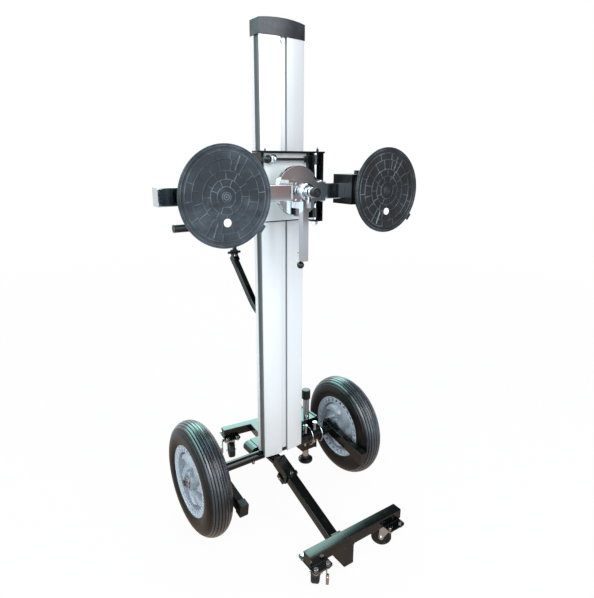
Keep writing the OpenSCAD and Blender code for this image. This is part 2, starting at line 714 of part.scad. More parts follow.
module turntable() color("#c3c6cb") difference() {
    rod_y(disc_d / 2, head_x, [disc_front, disc_front + disc_t], head_z);
    rod_y(15 + fit, head_x, [disc_front - 1, disc_front + disc_t + 1], head_z);
}

// Clamp sleeve for the crossbar, with the lever tube that turns the head
module saddle() color("#c3c6cb") difference() {
    z = [head_z - saddle_half, head_z + saddle_half];
    lever_y = [saddle_front, saddle_front + lever_side];
    lever_z = [z[0] - lever_len, z[0] + 1];
    union() {
        box(saddle_x, [saddle_front, disc_front - gap], z);
        box(saddle_x, [disc_front - 22, disc_front - gap], [z[1] - 1, z[1] + 7]);
        rod_y(23, knob_x, [saddle_front - 5, saddle_front + 1], head_z + 1);
        difference() {
            box([lever_x - lever_side / 2, lever_x + lever_side / 2], lever_y, lever_z);
            box([lever_x - lever_side / 2 + 2, lever_x + lever_side / 2 - 2],
                [lever_y[0] + 2, lever_y[1] - 2], [lever_z[0] - 1, lever_z[1] - 4]);
        }
        for (h = [20, 128]) box([lever_x - 8, lever_x + 8], [lever_y[1] - 1, rod_y + 7], [lever_z[0] + h, lever_z[0] + h + 4]);
        box([lever_x - 8, lever_x + 8], [lever_y[1] - 1, disc_front - gap], [z[0] - 22, z[0] + 1]);
        for (s = [-1, 1]) translate([-40, saddle_front - 3, head_z + s * (saddle_half - 4)])
            rotate([-90, 0, 0]) hex_z(9, 4);
    }
    box([saddle_x[0] - 1, saddle_x[1] + 1], [cross_front - gap, cross_back + gap],
        [head_z - cross_h / 2 - gap, head_z + cross_h / 2 + gap]);
    rod_y(6 + fit, knob_x, [saddle_front - 9, cross_front + 1], head_z + 1);
    rod_z(rod_r + fit, lever_x, rod_y, [lever_z[0] - 1, z[0] - 6]);
}

module crossbar() color("#c3c6cb") {
    translate([0, (cross_front + cross_back) / 2, head_z]) difference() {
        bar_x_solid(cross_x0, cross_x1, cross_d, cross_h);
        translate([cross_x0 + 4, -cross_d / 2 + 2.5, -cross_h / 2 + 2.5])
            cube([cross_x1 - cross_x0, cross_d - 5, cross_h - 5]);
    }
}

// Housing behind a pad that slides on the crossbar and holds the pump
module pad_block(x, ends) color("#1b1c1f") translate([x, 0, head_z]) difference() {
    union() {
        box(ends, [pad_back + 16, block_back], [-40, block_top]);
        rod_y(100, 0, [pad_back + gap, pad_back + 16.5], 0);
    }
    box([ends[0] - 1, ends[1] + 1], [cross_front - gap, cross_back + gap],
        [-cross_h / 2 - gap, cross_h / 2 + gap]);
    rod_z(plunger_r + fit, plunger_dx, (cross_front + cross_back) / 2, [block_top - 21, block_top + 1]);
}

module pad_block_left() pad_block(pad_left_x, [-block_outer, block_inner]);
module pad_block_right() pad_block(pad_right_x, [-block_inner, block_outer]);

// Rubber pad with concentric sealing grooves, the filter recess and the pull tab
pad_rings = [0.095, 0.2, 0.34, 0.5, 0.72, 0.87];

module pad(x) color("#3b444d") translate([x, 0, head_z]) {
    r = pad_d / 2;
    difference() {
        translate([0, pad_front, 0]) rotate([-90, 0, 0]) rotate_extrude() polygon(concat(
            [[0, 1]],
            [for (k = pad_rings, q = [[-1.6, 1], [-0.8, 0], [0.8, 0], [1.6, 1]]) [k * r + q[0], q[1]]],
            [[0.95 * r - 1, 1], [0.95 * r, 0], [r - 1.5, 0], [r, 1.5], [r, 6.5], [r - 3, 9], [0.86 * r, 14], [0.82 * r, pad_t], [0, pad_t]]));
        rod_y(10.5, 0, [pad_front - 1, pad_front + 4], -62);
    }
    rotate([0, 40, 0]) box([r - 4, r + 10], [pad_front + 2, pad_front + 6], [-12.5, 12.5]);
}

module pad_left() pad(pad_left_x);
module pad_right() pad(pad_right_x);

// Pump plunger that rises from the top of a pad's housing
module plunger(x) color("#202226") translate([x, 0, head_z])
    rod_z(plunger_r, plunger_dx, (cross_front + cross_back) / 2,
          [block_top - 21 + plunger_travel + gap, block_top + plunger_travel + 1]);

module plunger_left() plunger(pad_left_x);
module plunger_right() plunger(pad_right_x);

// Clamp screw with its knob and the small hanging lever
module clamp_knob() color("#202226") translate([knob_x, 0, head_z + 1]) {
    rod_y(6, 0, [saddle_front - 34, saddle_front + 2], 0);
    rod_y(12, 0, [saddle_front - 20, saddle_front - 5 - gap], 0);
    rod_y(13, 0, [saddle_front - 54, saddle_front - 24], 0);
    box([-5, 5], [saddle_front - 18, saddle_front - 12], [-44, -6]);
}

// Index pin of the turntable with its ball
module pull_rod() color("#202226") {
    z0 = head_z - saddle_half - lever_len;
    rod_z(rod_r, lever_x, rod_y, [z0 - 10, head_z - saddle_half - 8]);
    translate([lever_x, rod_y, z0 - 15]) sphere(r = 11);
}

module handle_arm() color("#1b1c1f") difference() {
    w = handle_side;
    lap = 1;
    union() {
        translate([grip_x, foot_at.x, foot_at.y]) rotate([-handle_foot_tilt, 0, 0])
            translate([0, 0, -26]) linear_extrude(26) chamfer_rect(w, w);
        translate([grip_x, bend_at.x, bend_at.y]) rotate([90, 0, 90]) rotate([0, 0, -handle_foot_tilt - lap])
            rotate_extrude(angle = handle_foot_tilt - handle_tilt + 2 * lap)
                translate([handle_bend, 0]) chamfer_rect(w - 0.4, w - 0.4);
        translate([grip_x, elbow.x, elbow.y]) rotate([-handle_tilt, 0, 0]) {
            linear_extrude(handle_len) chamfer_rect(w, w);
            for (s = [-1, 1]) translate([s * (w / 2 - 2.5) - 2.5, 0, 0]) {
                translate([0, -clevis_off, handle_len - 18]) cube([5, clevis_off + w / 2 - 1, 26]);
                translate([0, -clevis_off, handle_len + 14]) rotate([0, 90, 0]) cylinder(r = 11, h = 5);
            }
        }
        box([grip_x - 24, grip_x + 24], [web_back + gap, web_back + 4], [foot_at.y - 35, foot_at.y + 25]);
    }
    rod_x(5 + fit, [grip_x - 30, grip_x + 30], clevis.x, clevis.y);
    box([grip_x - 30, grip_x + 30], [web_back - 60, web_back + gap], [foot_at.y - 60, foot_at.y + 60]);
}

module handle_top() color("#202226") difference() {
    reach = norm(grip_at - clevis);
    union() {
        translate([grip_x, clevis.x, clevis.y]) rotate([atan2(clevis.x - grip_at.x, grip_at.y - clevis.y), 0, 0])
            translate([0, 0, -7]) linear_extrude(reach) soft_rect(handle_side - 12, 18, 4);
        rod_x(5, [grip_x - 24, grip_x + 24], clevis.x, clevis.y);
        rod_x(11, [grip_x - grip_w / 2 + 6, grip_x + grip_w / 2 - 6], grip_at.x, grip_at.y);
        for (s = [-1, 1]) rod_x(grip_d / 2, s > 0 ? [grip_x + grip_w / 2 - 115, grip_x + grip_w / 2]
                                              : [grip_x - grip_w / 2, grip_x - grip_w / 2 + 115],
                                grip_at.x, grip_at.y);
    }
}

module winch_frame() color("#1b1c1f") difference() {
    union() {
        box([-36, winch_x[1] + 4], [web_back + gap, web_back + 5], [winch_z - 60, winch_z + 60]);
        for (x = winch_x) box([x, x + 4], [web_back + 4, winch_y + 25], [winch_z - 40, winch_z + 40]);
    }
    rod_x(8 + fit, [0, 100], winch_y, winch_z);
}

module winch_drum() color("silver") {
    rod_x(8, [winch_x[0] - 5, 96], winch_y, winch_z);
    rod_x(drum_r, [winch_x[0] + 5, winch_x[1] - 1], winch_y, winch_z);
    for (x = [winch_x[0] + 5, winch_x[1] - 5]) rod_x(drum_r + 9, [x, x + 4], winch_y, winch_z);
}

module winch_crank() color("#202226") {
    difference() {
        box([88, 96], [winch_y - 10, winch_y + 10], [winch_z - 14, winch_z + 100]);
        rod_x(8 + gap, [80, 110], winch_y, winch_z);
    }
    rod_x(12, [95, 165], winch_y, winch_z + 88);
}

mast();
mast_cap();
foot_frame();
axle();
axle_nuts();
linch_pins();
bow_inner();
bow_outer();
frame_bolts();
front_leg();
front_bar();
front_castor_tops();
prop_housing();
prop_rod();
prop_cap();
prop_foot();
rear_leg();
rear_castor_tops();
rear_bolts();
fork_front_left();
fork_front_right();
fork_rear_left();
fork_rear_right();
castor_front_left();
castor_front_right();
castor_rear_left();
castor_rear_right();
brake_front_left();
brake_front_right();
brake_rear_left();
brake_rear_right();
tyre_left();
tyre_right();
rim_left();
rim_right();
arm_left();
arm_right();
arm_caps_left();
arm_caps_right();
carriage_frame();
hinge_pin();
hinge_leaf();
swing_plate();
latch_bar();
turntable();
saddle();
crossbar();
pad_block_left();
pad_block_right();
pad_left();
pad_right();
plunger_left();
plunger_right();
clamp_knob();
pull_rod();
handle_arm();
handle_top();
winch_frame();
winch_drum();
winch_crank();
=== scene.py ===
"""Glass trolley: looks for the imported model.

+X is right, +Y back, +Z up, the floor is at z = 0. Meshes are in metres, the sizes of single forms
in mm, colours linear.
"""
import json
import math

import bmesh
import bpy
import numpy as np
from mathutils import Matrix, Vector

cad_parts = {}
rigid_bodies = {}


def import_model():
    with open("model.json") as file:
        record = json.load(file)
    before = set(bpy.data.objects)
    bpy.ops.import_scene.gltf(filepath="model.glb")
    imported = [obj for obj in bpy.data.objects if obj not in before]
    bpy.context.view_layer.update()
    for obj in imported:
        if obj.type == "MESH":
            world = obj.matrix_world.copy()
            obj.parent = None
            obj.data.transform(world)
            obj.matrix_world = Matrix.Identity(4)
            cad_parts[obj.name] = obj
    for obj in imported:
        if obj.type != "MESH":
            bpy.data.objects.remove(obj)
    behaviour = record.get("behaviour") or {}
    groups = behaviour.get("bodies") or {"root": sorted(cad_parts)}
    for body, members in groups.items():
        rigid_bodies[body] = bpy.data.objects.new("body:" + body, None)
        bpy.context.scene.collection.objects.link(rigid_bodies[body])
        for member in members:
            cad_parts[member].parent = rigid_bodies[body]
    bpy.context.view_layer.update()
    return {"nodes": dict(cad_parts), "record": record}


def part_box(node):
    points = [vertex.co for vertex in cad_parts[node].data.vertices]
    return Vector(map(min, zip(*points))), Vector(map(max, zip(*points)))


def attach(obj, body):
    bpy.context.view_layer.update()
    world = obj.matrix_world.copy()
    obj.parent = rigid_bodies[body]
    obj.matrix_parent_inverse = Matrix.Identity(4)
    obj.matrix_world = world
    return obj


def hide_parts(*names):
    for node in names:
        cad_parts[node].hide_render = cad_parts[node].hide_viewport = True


for leftover in list(bpy.data.objects):
    bpy.data.objects.remove(leftover)
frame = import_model()
MM = 0.001
TAU = 2 * math.pi


# Shader sums

class Sum:
    """A socket that adds Math nodes as it is used in an expression."""

    def __init__(self, shop, socket):
        self.shop = shop
        self.socket = socket

    def math(self, operation, *others):
        return self.shop.add("ShaderNodeMath", {"operation": operation}, [self, *others])

    def __add__(self, other):
        return self.math("ADD", other)

    def __sub__(self, other):
        return self.math("SUBTRACT", other)

    def __mul__(self, other):
        return self.math("MULTIPLY", other)

    def __truediv__(self, other):
        return self.math("DIVIDE", other)

    def __pow__(self, other):
        return self.math("POWER", other)

    def __rsub__(self, other):
        return self.shop.add("ShaderNodeMath", {"operation": "SUBTRACT"}, [other, self])

    __radd__ = __add__
    __rmul__ = __mul__


class Shop:
    """A node tree whose nodes are added by expressions that start from one place vector."""

    def __init__(self, tree, coordinates):
        self.nodes = tree.nodes
        self.links = tree.links
        self.place = self.add("ShaderNodeTexCoord", {}, {}, coordinates)

    def add(self, kind, settings, values=(), output=0):
        """Adds one node: its settings first, then the values or links of its sockets."""
        node = self.nodes.new(kind)
        for key, value in settings.items():
            if key == "stops":
                ramp = node.color_ramp
                while len(ramp.elements) < len(value):
                    ramp.elements.new(0.5)
                for element, (position, colour) in zip(ramp.elements, value):
                    element.position = position
                    element.color = (*colour, 1)
            else:
                setattr(node, key, value)
        pairs = values.items() if isinstance(values, dict) else enumerate(values)
        for key, value in pairs:
            self.feed(node.inputs[key], value)
        return Sum(self, node.outputs[output])

    def feed(self, socket, value):
        if isinstance(value, Sum):
            self.links.new(value.socket, socket)
        else:
            socket.default_value = value

    def noise(self, scale, detail=3.0, rough=0.55, stretch=None):
        """Noise of so many grains per metre, drawn out along each axis by stretch."""
        where = self.place
        if stretch:
            where = self.add("ShaderNodeMapping", {}, {"Vector": self.place, "Scale": stretch})
        values = {"Vector": where, "Scale": scale, "Detail": detail, "Roughness": rough}
        return self.add("ShaderNodeTexNoise", {}, values)

    def cells(self, scale):
        values = {"Vector": self.place, "Scale": scale}
        return self.add("ShaderNodeTexVoronoi", {"feature": "F1"}, values)

    def ramp(self, factor, *stops):
        return self.add("ShaderNodeValToRGB", {"stops": stops}, [factor])

    def fade(self, value, low, high):
        """0 at low, 1 at high, smooth in between and held beyond."""
        values = {"Value": value, "From Min": low, "From Max": high}
        return self.add("ShaderNodeMapRange", {"interpolation_type": "SMOOTHSTEP"}, values)

    def mix(self, factor, low, high):
        """The colour low where factor is 0, high where it is 1."""
        values = {0: factor, 6: low if isinstance(low, Sum) else (*low, 1),
                  7: high if isinstance(high, Sum) else (*high, 1)}
        return self.add("ShaderNodeMix", {"data_type": "RGBA"}, values, 2)

    def axis(self, name):
        return self.add("ShaderNodeSeparateXYZ", {}, [self.place], name)

    def ray(self, kind):
        return self.add("ShaderNodeLightPath", {}, {}, "Is " + kind + " Ray")


class Finish(Shop):
    """A material with a Principled shader, built from expressions."""

    def __init__(self, name, **settings):
        self.material = bpy.data.materials.new(name)
        self.material.use_nodes = True
        super().__init__(self.material.node_tree, "Object")
        self.shader = self.nodes["Principled BSDF"]
        for socket, value in settings.items():
            self.shader.inputs[socket.replace("_", " ")].default_value = value

    def set(self, socket, value):
        self.feed(self.shader.inputs[socket], value)

    def bump(self, height, strength, distance=0.0003):
        values = {"Height": height, "Strength": strength, "Distance": distance}
        self.set("Normal", self.add("ShaderNodeBump", {}, values))

    def marked(self, name):
        """The piece's own attribute, 0 to 1."""
        return self.add("ShaderNodeAttribute", {"attribute_name": name}, {}, "Fac")


# Finishes

# Painted shade on the mast: the fades in x and y, in metres, that bound the guide grooves in its
# sides and the right part of its front slot, which are darkened as shade
RAIL_SIDE, RAIL_FRONT, RAIL_BACK = (0.0690, 0.0705), (-0.0375, -0.0365), (-0.0085, -0.0105)
SLOT_LEFT, SLOT_RIGHT, SLOT_DEPTH = (0.0080, 0.0105), (0.0140, 0.0125), (-0.0446, -0.0436)


def anodised(name, colour, shade, metal, roughness):
    """Satin anodised aluminium: fine upright draw lines, faint cloudy tone, and painted shade
    darkening the mast's grooves."""
    f = Finish(name, Metallic=metal, Specular_IOR_Level=0.5)
    lines = f.noise(520, detail=2, rough=0.6, stretch=(1, 1, 0.003))
    cloud = f.noise(4, detail=3, rough=0.6, stretch=(1, 1, 0.3))
    tone = f.mix(f.fade(0.75 * cloud + 0.25 * lines, 0.38, 0.62), shade, colour)
    x, y = f.axis("X"), f.axis("Y")
    rail = f.fade(x.math("ABSOLUTE"), *RAIL_SIDE) * f.fade(y, *RAIL_FRONT) * f.fade(y, *RAIL_BACK)
    slot = f.fade(x, *SLOT_LEFT) * f.fade(x, *SLOT_RIGHT) * f.fade(y, *SLOT_DEPTH)
    # Painted shade: the guide grooves and the front slot are darkened, patchy with the cloud noise
    painted_groove_shade = rail * (0.78 + 0.30 * cloud) + slot * (0.60 + 0.30 * cloud)
    f.set("Base Color", f.mix(painted_groove_shade.math("MINIMUM", 1.0), tone, (0.075, 0.092, 0.092)))
    f.set("Roughness", roughness + 0.08 * (lines - 0.5) + 0.10 * (cloud - 0.5))
    f.bump(lines, strength=0.03)
    return f.material


def gloss_paint(name):
    """Black stoving paint: orange peel, faint dust, slightly uneven gloss."""
    f = Finish(name, Specular_IOR_Level=0.45)
    peel = f.noise(300, detail=2, rough=0.5)
    dust = f.noise(38, detail=4, rough=0.65)
    clean, dusty = (0.0022, 0.0024, 0.0026), (0.013, 0.012, 0.011)
    f.set("Base Color", f.mix(f.fade(dust, 0.5, 0.85), clean, dusty))
    f.set("Roughness", 0.07 + 0.12 * dust)
    f.bump(peel, strength=0.06)
    return f.material


def moulded(name, low, high, roughness):
    """Moulded plastic or hard rubber: fine spark-eroded grain and soft handling marks."""
    f = Finish(name, Specular_IOR_Level=0.4)
    marks = f.noise(22, detail=4, rough=0.6)
    f.set("Base Color", f.mix(f.fade(marks, 0.4, 0.8), low, high))
    f.set("Roughness", roughness - 0.06 + 0.14 * marks)
    f.bump(f.noise(900, detail=2, rough=0.5), strength=0.12)
    return f.material


def zinc(name):
    """Bright zinc plate: soft warm and cool passivation clouds, fine grain, faint spangle."""
    f = Finish(name, Metallic=1.0)
    cloud = f.noise(6, detail=2, rough=0.5)
    drift = f.noise(3.2, detail=2, rough=0.5)
    warm, plain, cool = (0.52, 0.46, 0.46), (0.55, 0.57, 0.60), (0.62, 0.70, 0.74)
    tint = f.ramp(drift, (0.38, warm), (0.5, plain), (0.62, cool))
    f.set("Base Color", f.mix(0.55 * f.fade(cloud, 0.45, 0.70), tint, (0.47, 0.40, 0.39)))
    f.set("Roughness", 0.05 + 0.08 * cloud)
    f.bump(f.noise(500, detail=2, rough=0.5) + 0.3 * f.cells(160), strength=0.04)
    return f.material


def tyre_rubber(name):
    """Tyre rubber: a patchy painted pale blue sheen on the glossier ribs, brown-black walls with
    dust, fine grain.
    """
    f = Finish(name, Specular_IOR_Level=0.26, Coat_Roughness=0.16)
    dust = f.noise(30, detail=4, rough=0.65)
    sheen_mottle = f.noise(9, detail=2, rough=0.5)
    ribs = f.marked("rib")
    clean, dusty, bluish = (0.0026, 0.0021, 0.0018), (0.008, 0.007, 0.0065), (0.058, 0.075, 0.105)
    wall = f.mix(f.fade(dust, 0.35, 0.75), clean, dusty)
    # Painted sheen: the ribs get a patchy pale blue colour in place of the highlights along them
    sheen_patches = ribs * (0.10 + 0.60 * f.fade(sheen_mottle, 0.3, 0.7) + 0.2 * dust)
    f.set("Base Color", f.mix(sheen_patches, wall, bluish))
    f.set("Roughness", 0.24 + 0.14 * dust)
    f.set("Coat Weight", 0.9 * ribs)
    f.bump(f.noise(300, detail=3, rough=0.6), strength=0.04)
    return f.material


def pad_rubber(name):
    """Slate rubber of the suction pads: dark ground, smudges and fine grain; a patchy pale painted
    highlight on the raised ridges and a paler lip; and a painted sheen that makes the left pad's
    ground lighter and bluer and its smudges stronger than the right pad's."""
    f = Finish(name, Specular_IOR_Level=0.26)
    sheen_patches = f.noise(13, detail=5, rough=0.65)
    smear = f.noise(6, detail=4, rough=0.6, stretch=(1, 1, 2.2))
    # Painted sheen: the left pad's ground is lighter and bluer, and its pale smudges stronger, than
    # the right pad's
    left = f.fade(f.axis("X"), 0.1, -0.1)
    cloudy = f.fade(0.5 * sheen_patches + 0.5 * smear, 0.42, 0.66)
    ground = f.mix(left, (0.012, 0.012, 0.013), (0.022, 0.028, 0.036))
    shade = f.mix(cloudy * (0.25 + 0.75 * left), ground, (0.062, 0.080, 0.098))
    # Painted highlight: the raised ridges are pale in patches where the rib marks say so; the lip
    # is paler too
    pale = f.marked("rib") * (0.12 + 0.75 * f.fade(sheen_patches, 0.42, 0.62))
    f.set("Base Color", f.mix(pale.math("MINIMUM", 1.0), shade, (0.19, 0.23, 0.27)))
    f.set("Roughness", 0.34 + 0.24 * sheen_patches)
    grain = f.noise(700, detail=3, rough=0.6) + 0.6 * f.noise(90, detail=3, rough=0.6)
    f.bump(grain, strength=0.12, distance=0.0004)
    return f.material


def rim_plastic(name):
    """Light grey moulded rim: cool tone, darker by the hub, and painted shade from the pocket marks
    in the pockets, in the valleys between the lobes and in the seams."""
    f = Finish(name, Specular_IOR_Level=0.5)
    y = f.axis("Y")
    z = f.axis("Z") - AXLE_Z
    reach = ((y * y + z * z) ** 0.5) / RIM_R
    grime = f.noise(14, detail=3, rough=0.5)
    by_hub, middle, outer = (0.20, 0.235, 0.27), (0.35, 0.42, 0.49), (0.44, 0.52, 0.60)
    tone = f.ramp(reach + 0.06 * grime - 0.03, (0.18, by_hub), (0.42, middle), (0.95, outer))
    # Painted shade: the pocket marks darken the pockets, the valleys beside the lobes and the seams
    f.set("Base Color", f.mix(f.marked("pocket"), tone, (0.035, 0.042, 0.050)))
    f.set("Roughness", 0.24 + 0.10 * grime)
    f.bump(f.noise(420, detail=2, rough=0.5), strength=0.03, distance=0.0002)
    return f.material


def white_felt():
    """White filter felt: fibrous, matt."""
    f = Finish("white felt", Roughness=0.9, Specular_IOR_Level=0.2)
    fibre = f.noise(1500, detail=4, rough=0.7)
    f.set("Base Color", f.mix(fibre, (0.93, 0.93, 0.93), (0.99, 0.99, 0.99)))
    f.bump(fibre, strength=0.3, distance=0.0004)
    return f.material


# Mesh tools

def make(name, points, faces, finish, body, marks=None):
    """Puts points and faces, and marks of one number for each point, into an object whose place is
    in its mesh."""
    mesh = bpy.data.meshes.new(name)
    corners = faces if isinstance(faces, list) else faces.tolist()
    mesh.from_pydata(np.asarray(points, float).tolist(), [], corners)
    for key, values in (marks or {}).items():
        mark = mesh.attributes.new(key, "FLOAT", "POINT")
        mark.data.foreach_set("value", np.asarray(values, np.float32).ravel())
    built = bmesh.new()
    built.from_mesh(mesh)
    bmesh.ops.remove_doubles(built, verts=built.verts, dist=1e-6)
    bmesh.ops.recalc_face_normals(built, faces=built.faces)
    built.to_mesh(mesh)
    built.free()
    mesh.polygons.foreach_set("use_smooth", [True] * len(mesh.polygons))
    mesh.materials.append(finish)
    thing = bpy.data.objects.new(name, mesh)
    bpy.context.scene.collection.objects.link(thing)
    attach(thing, body)
    return thing


def quads(rows, columns, wrap_rows, wrap_columns):
    """Index grid of quads over rows x columns points, closed where it wraps."""
    i = np.arange(rows if wrap_rows else rows - 1)
    j = np.arange(columns if wrap_columns else columns - 1)
    a, b = np.meshgrid(i, j, indexing="ij")
    c, d = (a + 1) % rows, (b + 1) % columns
    corner = [p * columns + q for p, q in ((a, b), (a, d), (c, d), (c, b))]
    return np.stack(corner, axis=-1).reshape(-1, 4)


def turned(radius, along, angle_count):
    """Points of a profile (radius, along) turned a full circle about the X axis."""
    angle = np.arange(angle_count) * TAU / angle_count
    x = np.repeat(np.asarray(along, float)[:, None], angle_count, axis=1)
    y = np.outer(radius, np.cos(angle))
    z = np.outer(radius, np.sin(angle))
    return np.stack([x, y, z], axis=-1)


TURNS = {"x": Matrix(), "y": Matrix.Rotation(math.pi / 2, 4, "Z")}


def lathe(name, profile, centre, axis, finish, body, count=64):
    """A closed profile of (radius, along) pairs turned about an axis through centre."""
    profile = np.asarray(profile, float) * MM
    points = turned(profile[:, 0], profile[:, 1], count).reshape(-1, 3)
    turn = np.array(TURNS[axis].to_3x3())
    points = points @ turn.T + np.asarray(centre) * MM
    return make(name, points, quads(len(profile), count, True, True), finish, body)


def soft_block(name, low, high, edge, finish, body, turn=None, about=(0, 0, 0)):
    """A box with round edges: sphere points pushed out by the box's inner half sizes, each with its
    own sign, then turned about a point."""
    rows, columns = 14, 28
    polar = (np.arange(rows) + 0.5) / rows * math.pi
    polar = np.concatenate([[0.0], polar, [math.pi]])
    around = (np.arange(columns) + 0.5) / columns * TAU
    ball = np.stack([np.outer(np.sin(polar), np.cos(around)),
                     np.outer(np.sin(polar), np.sin(around)),
                     np.repeat(np.cos(polar)[:, None], columns, axis=1)], axis=-1)
    low, high = np.asarray(low, float), np.asarray(high, float)
    inner = (high - low) / 2 - edge
    points = (ball * edge + np.sign(np.round(ball, 9)) * inner + (low + high) / 2)
    points[0, :, :2] = points[1, :, :2]
    points[-1, :, :2] = points[-2, :, :2]
    points = points.reshape(-1, 3)
    faces = quads(rows + 2, columns, False, True).tolist()
    faces += [list(range(columns)),
              list(range((rows + 1) * columns, (rows + 2) * columns))[::-1]]
    if turn is not None:
        about = np.asarray(about, float)
        points = (points - about) @ np.array(turn).T + about
    return make(name, points * MM, faces, finish, body)


def wire(name, path, radius, finish, body, sides=12):
    """A round wire or weld bead: a circle carried along the path, square to its local direction,
    with flat ends."""
    path = np.asarray(path, float) * MM
    ahead = np.vstack([path[1:], path[-1:]])
    behind = np.vstack([path[:1], path[:-1]])
    direction = ahead - behind
    direction /= np.linalg.norm(direction, axis=1)[:, None]
    steep = np.abs(direction[:, 2:3]) >= 0.9
    side = np.cross(direction, np.where(steep, [[1.0, 0.0, 0.0]], [[0.0, 0.0, 1.0]]))
    side /= np.linalg.norm(side, axis=1)[:, None]
    up = np.cross(side, direction)
    angle = (np.arange(sides) * TAU / sides)[None, :, None]
    width = np.broadcast_to(np.asarray(radius, float) * MM, (len(path),))[:, None, None]
    ring = side[:, None, :] * np.cos(angle) + up[:, None, :] * np.sin(angle)
    points = (path[:, None, :] + width * ring).reshape(-1, 3)
    faces = quads(len(path), sides, False, True).tolist()
    faces += [list(range(sides)), list(range((len(path) - 1) * sides, len(path) * sides))[::-1]]
    return make(name, points, faces, finish, body)


SAME_POINT = 2e-6               # metres
FLAT = math.radians(0.6)        # faces that meet at less are joined
SHARP = math.radians(38)        # edges that turn more are rounded


def eased(node, width, finish):
    """A fresh copy of a CAD node, its flat faces joined and its sharp edges rounded by width."""
    built = bmesh.new()
    built.from_mesh(frame["nodes"][node].data)
    bmesh.ops.remove_doubles(built, verts=built.verts, dist=SAME_POINT)
    bmesh.ops.dissolve_limit(built, angle_limit=FLAT, verts=built.verts, edges=built.edges)
    built.verts.index_update()
    mesh = bpy.data.meshes.new(node + "_eased")
    corners = [[v.index for v in face.verts] for face in built.faces]
    mesh.from_pydata([v.co[:] for v in built.verts], [], corners)
    built.free()
    mesh.materials.append(finish)
    mesh.polygons.foreach_set("use_smooth", [True] * len(mesh.polygons))
    thing = bpy.data.objects.new(node + "_eased", mesh)
    bpy.context.scene.collection.objects.link(thing)
    rounding = thing.modifiers.new("edges", "BEVEL")
    rounding.width = width * MM
    rounding.segments = 2
    rounding.limit_method = "ANGLE"
    rounding.angle_limit = SHARP
    rounding.harden_normals = True
    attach(thing, BODY_OF[node])
    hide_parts(node)


def step(value, low, high):
    """Smooth step from 0 at low to 1 at high."""
    t = np.clip((value - low) / (high - low), 0, 1)
    return t * t * (3 - 2 * t)


def bell(off, width, power=4):
    """1 in the middle, falling to 0 past width on both sides. Power 4 has a flat top."""
    return np.exp(-(off / width) ** power)


# Sizes taken from the frame

def box_of(node, unit=1.0):
    """Low and high corner of a CAD node, in metres or in mm with the unit MM."""
    return [np.array(corner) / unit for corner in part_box(node)]


BODY_OF = {n: b for b, names in frame["record"]["behaviour"]["bodies"].items() for n in names}
SLOT_OF = {s["node"]: s["material_slot"] for s in frame["record"]["subparts"]}
tyre_low, tyre_high = box_of("tyre_left")
AXLE_Z = float((tyre_low[2] + tyre_high[2]) / 2)                # metres
TYRE_R = float((tyre_high[2] - tyre_low[2]) / 2) / MM
TYRE_HALF = float((tyre_high[0] - tyre_low[0]) / 2) / MM
rim_low, rim_high = box_of("rim_left")
RIM_R = float((rim_high[2] - rim_low[2]) / 2)                   # metres
RIM_HALF = float((rim_high[0] - rim_low[0]) / 2) / MM


# Finishes by slot

FINISHES = {
    "mast_alu": anodised("mast anodised", (0.86, 0.885, 0.91), (0.82, 0.85, 0.88),
                         metal=0.22, roughness=0.32),
    "plate_alu": anodised("plate anodised", (0.92, 0.95, 0.96), (0.86, 0.90, 0.92),
                          metal=0.12, roughness=0.34),
    "black_paint": gloss_paint("black gloss paint"),
    "black_plastic": moulded("black plastic", (0.004, 0.0045, 0.0055), (0.012, 0.014, 0.018),
                             roughness=0.30),
    "zinc": zinc("bright zinc"),
    "black_rubber": moulded("castor rubber", (0.006, 0.006, 0.007), (0.018, 0.018, 0.020),
                            roughness=0.42),
    "tyre_rubber": tyre_rubber("tyre rubber"),
    "rim_grey": rim_plastic("rim plastic"),
    "pad_rubber": pad_rubber("pad rubber"),
}
for node, thing in frame["nodes"].items():
    for place in thing.material_slots:
        place.material = FINISHES[SLOT_OF[node]]
BLACK, PLASTIC, ZINC = FINISHES["black_paint"], FINISHES["black_plastic"], FINISHES["zinc"]
# Painted sheen: the mast cap's plastic is lighter and bluer than the black plastic, standing in for
# its broad sheen
CAP_SHEEN_PLASTIC = moulded("mast cap plastic, painted sheen", (0.018, 0.021, 0.026), (0.050, 0.060, 0.075),
                      roughness=0.34)

# CAD nodes whose sharp edges are rounded, and by how many mm
EASED = {
    "foot_frame": 0.8, "front_leg": 0.8, "front_bar": 0.7, "rear_leg": 0.7, "prop_housing": 0.9,
    "carriage_frame": 0.6, "hinge_leaf": 0.7, "swing_plate": 0.7, "saddle": 0.6, "crossbar": 0.8,
    "pad_block_left": 2.2, "pad_block_right": 2.2, "winch_frame": 0.8, "mast_cap": 1.6,
    "arm_caps_left": 0.9, "arm_caps_right": 0.9, "turntable": 0.7, "prop_cap": 1.2,
    "axle_nuts": 0.6, "frame_bolts": 0.5, "rear_bolts": 0.5, "hinge_pin": 0.6, "handle_arm": 0.6,
    "winch_crank": 0.8, "clamp_knob": 0.6,
}
for node, width in EASED.items():
    eased(node, width, CAP_SHEEN_PLASTIC if node == "mast_cap" else FINISHES[SLOT_OF[node]])


# Tyres

SECTION = 47.0                  # from the middle of the tyre's section to its tread
BEAD_R = 118.6
GROOVES, GROOVE_DEPTH = 7, 2.6
GROOVE_STEP, GROOVE_WIDTH = 13.0, 1.7       # degrees round the section
TREAD_EDGE = (44, 52)           # degrees from the crown where the ribs end
# A line sunk into both walls and a raised one: degrees from the crown, depth in mm, width in
# degrees
WALL_MARKS = ((58, 0.8, 2.4), (76, -0.5, 1.4))


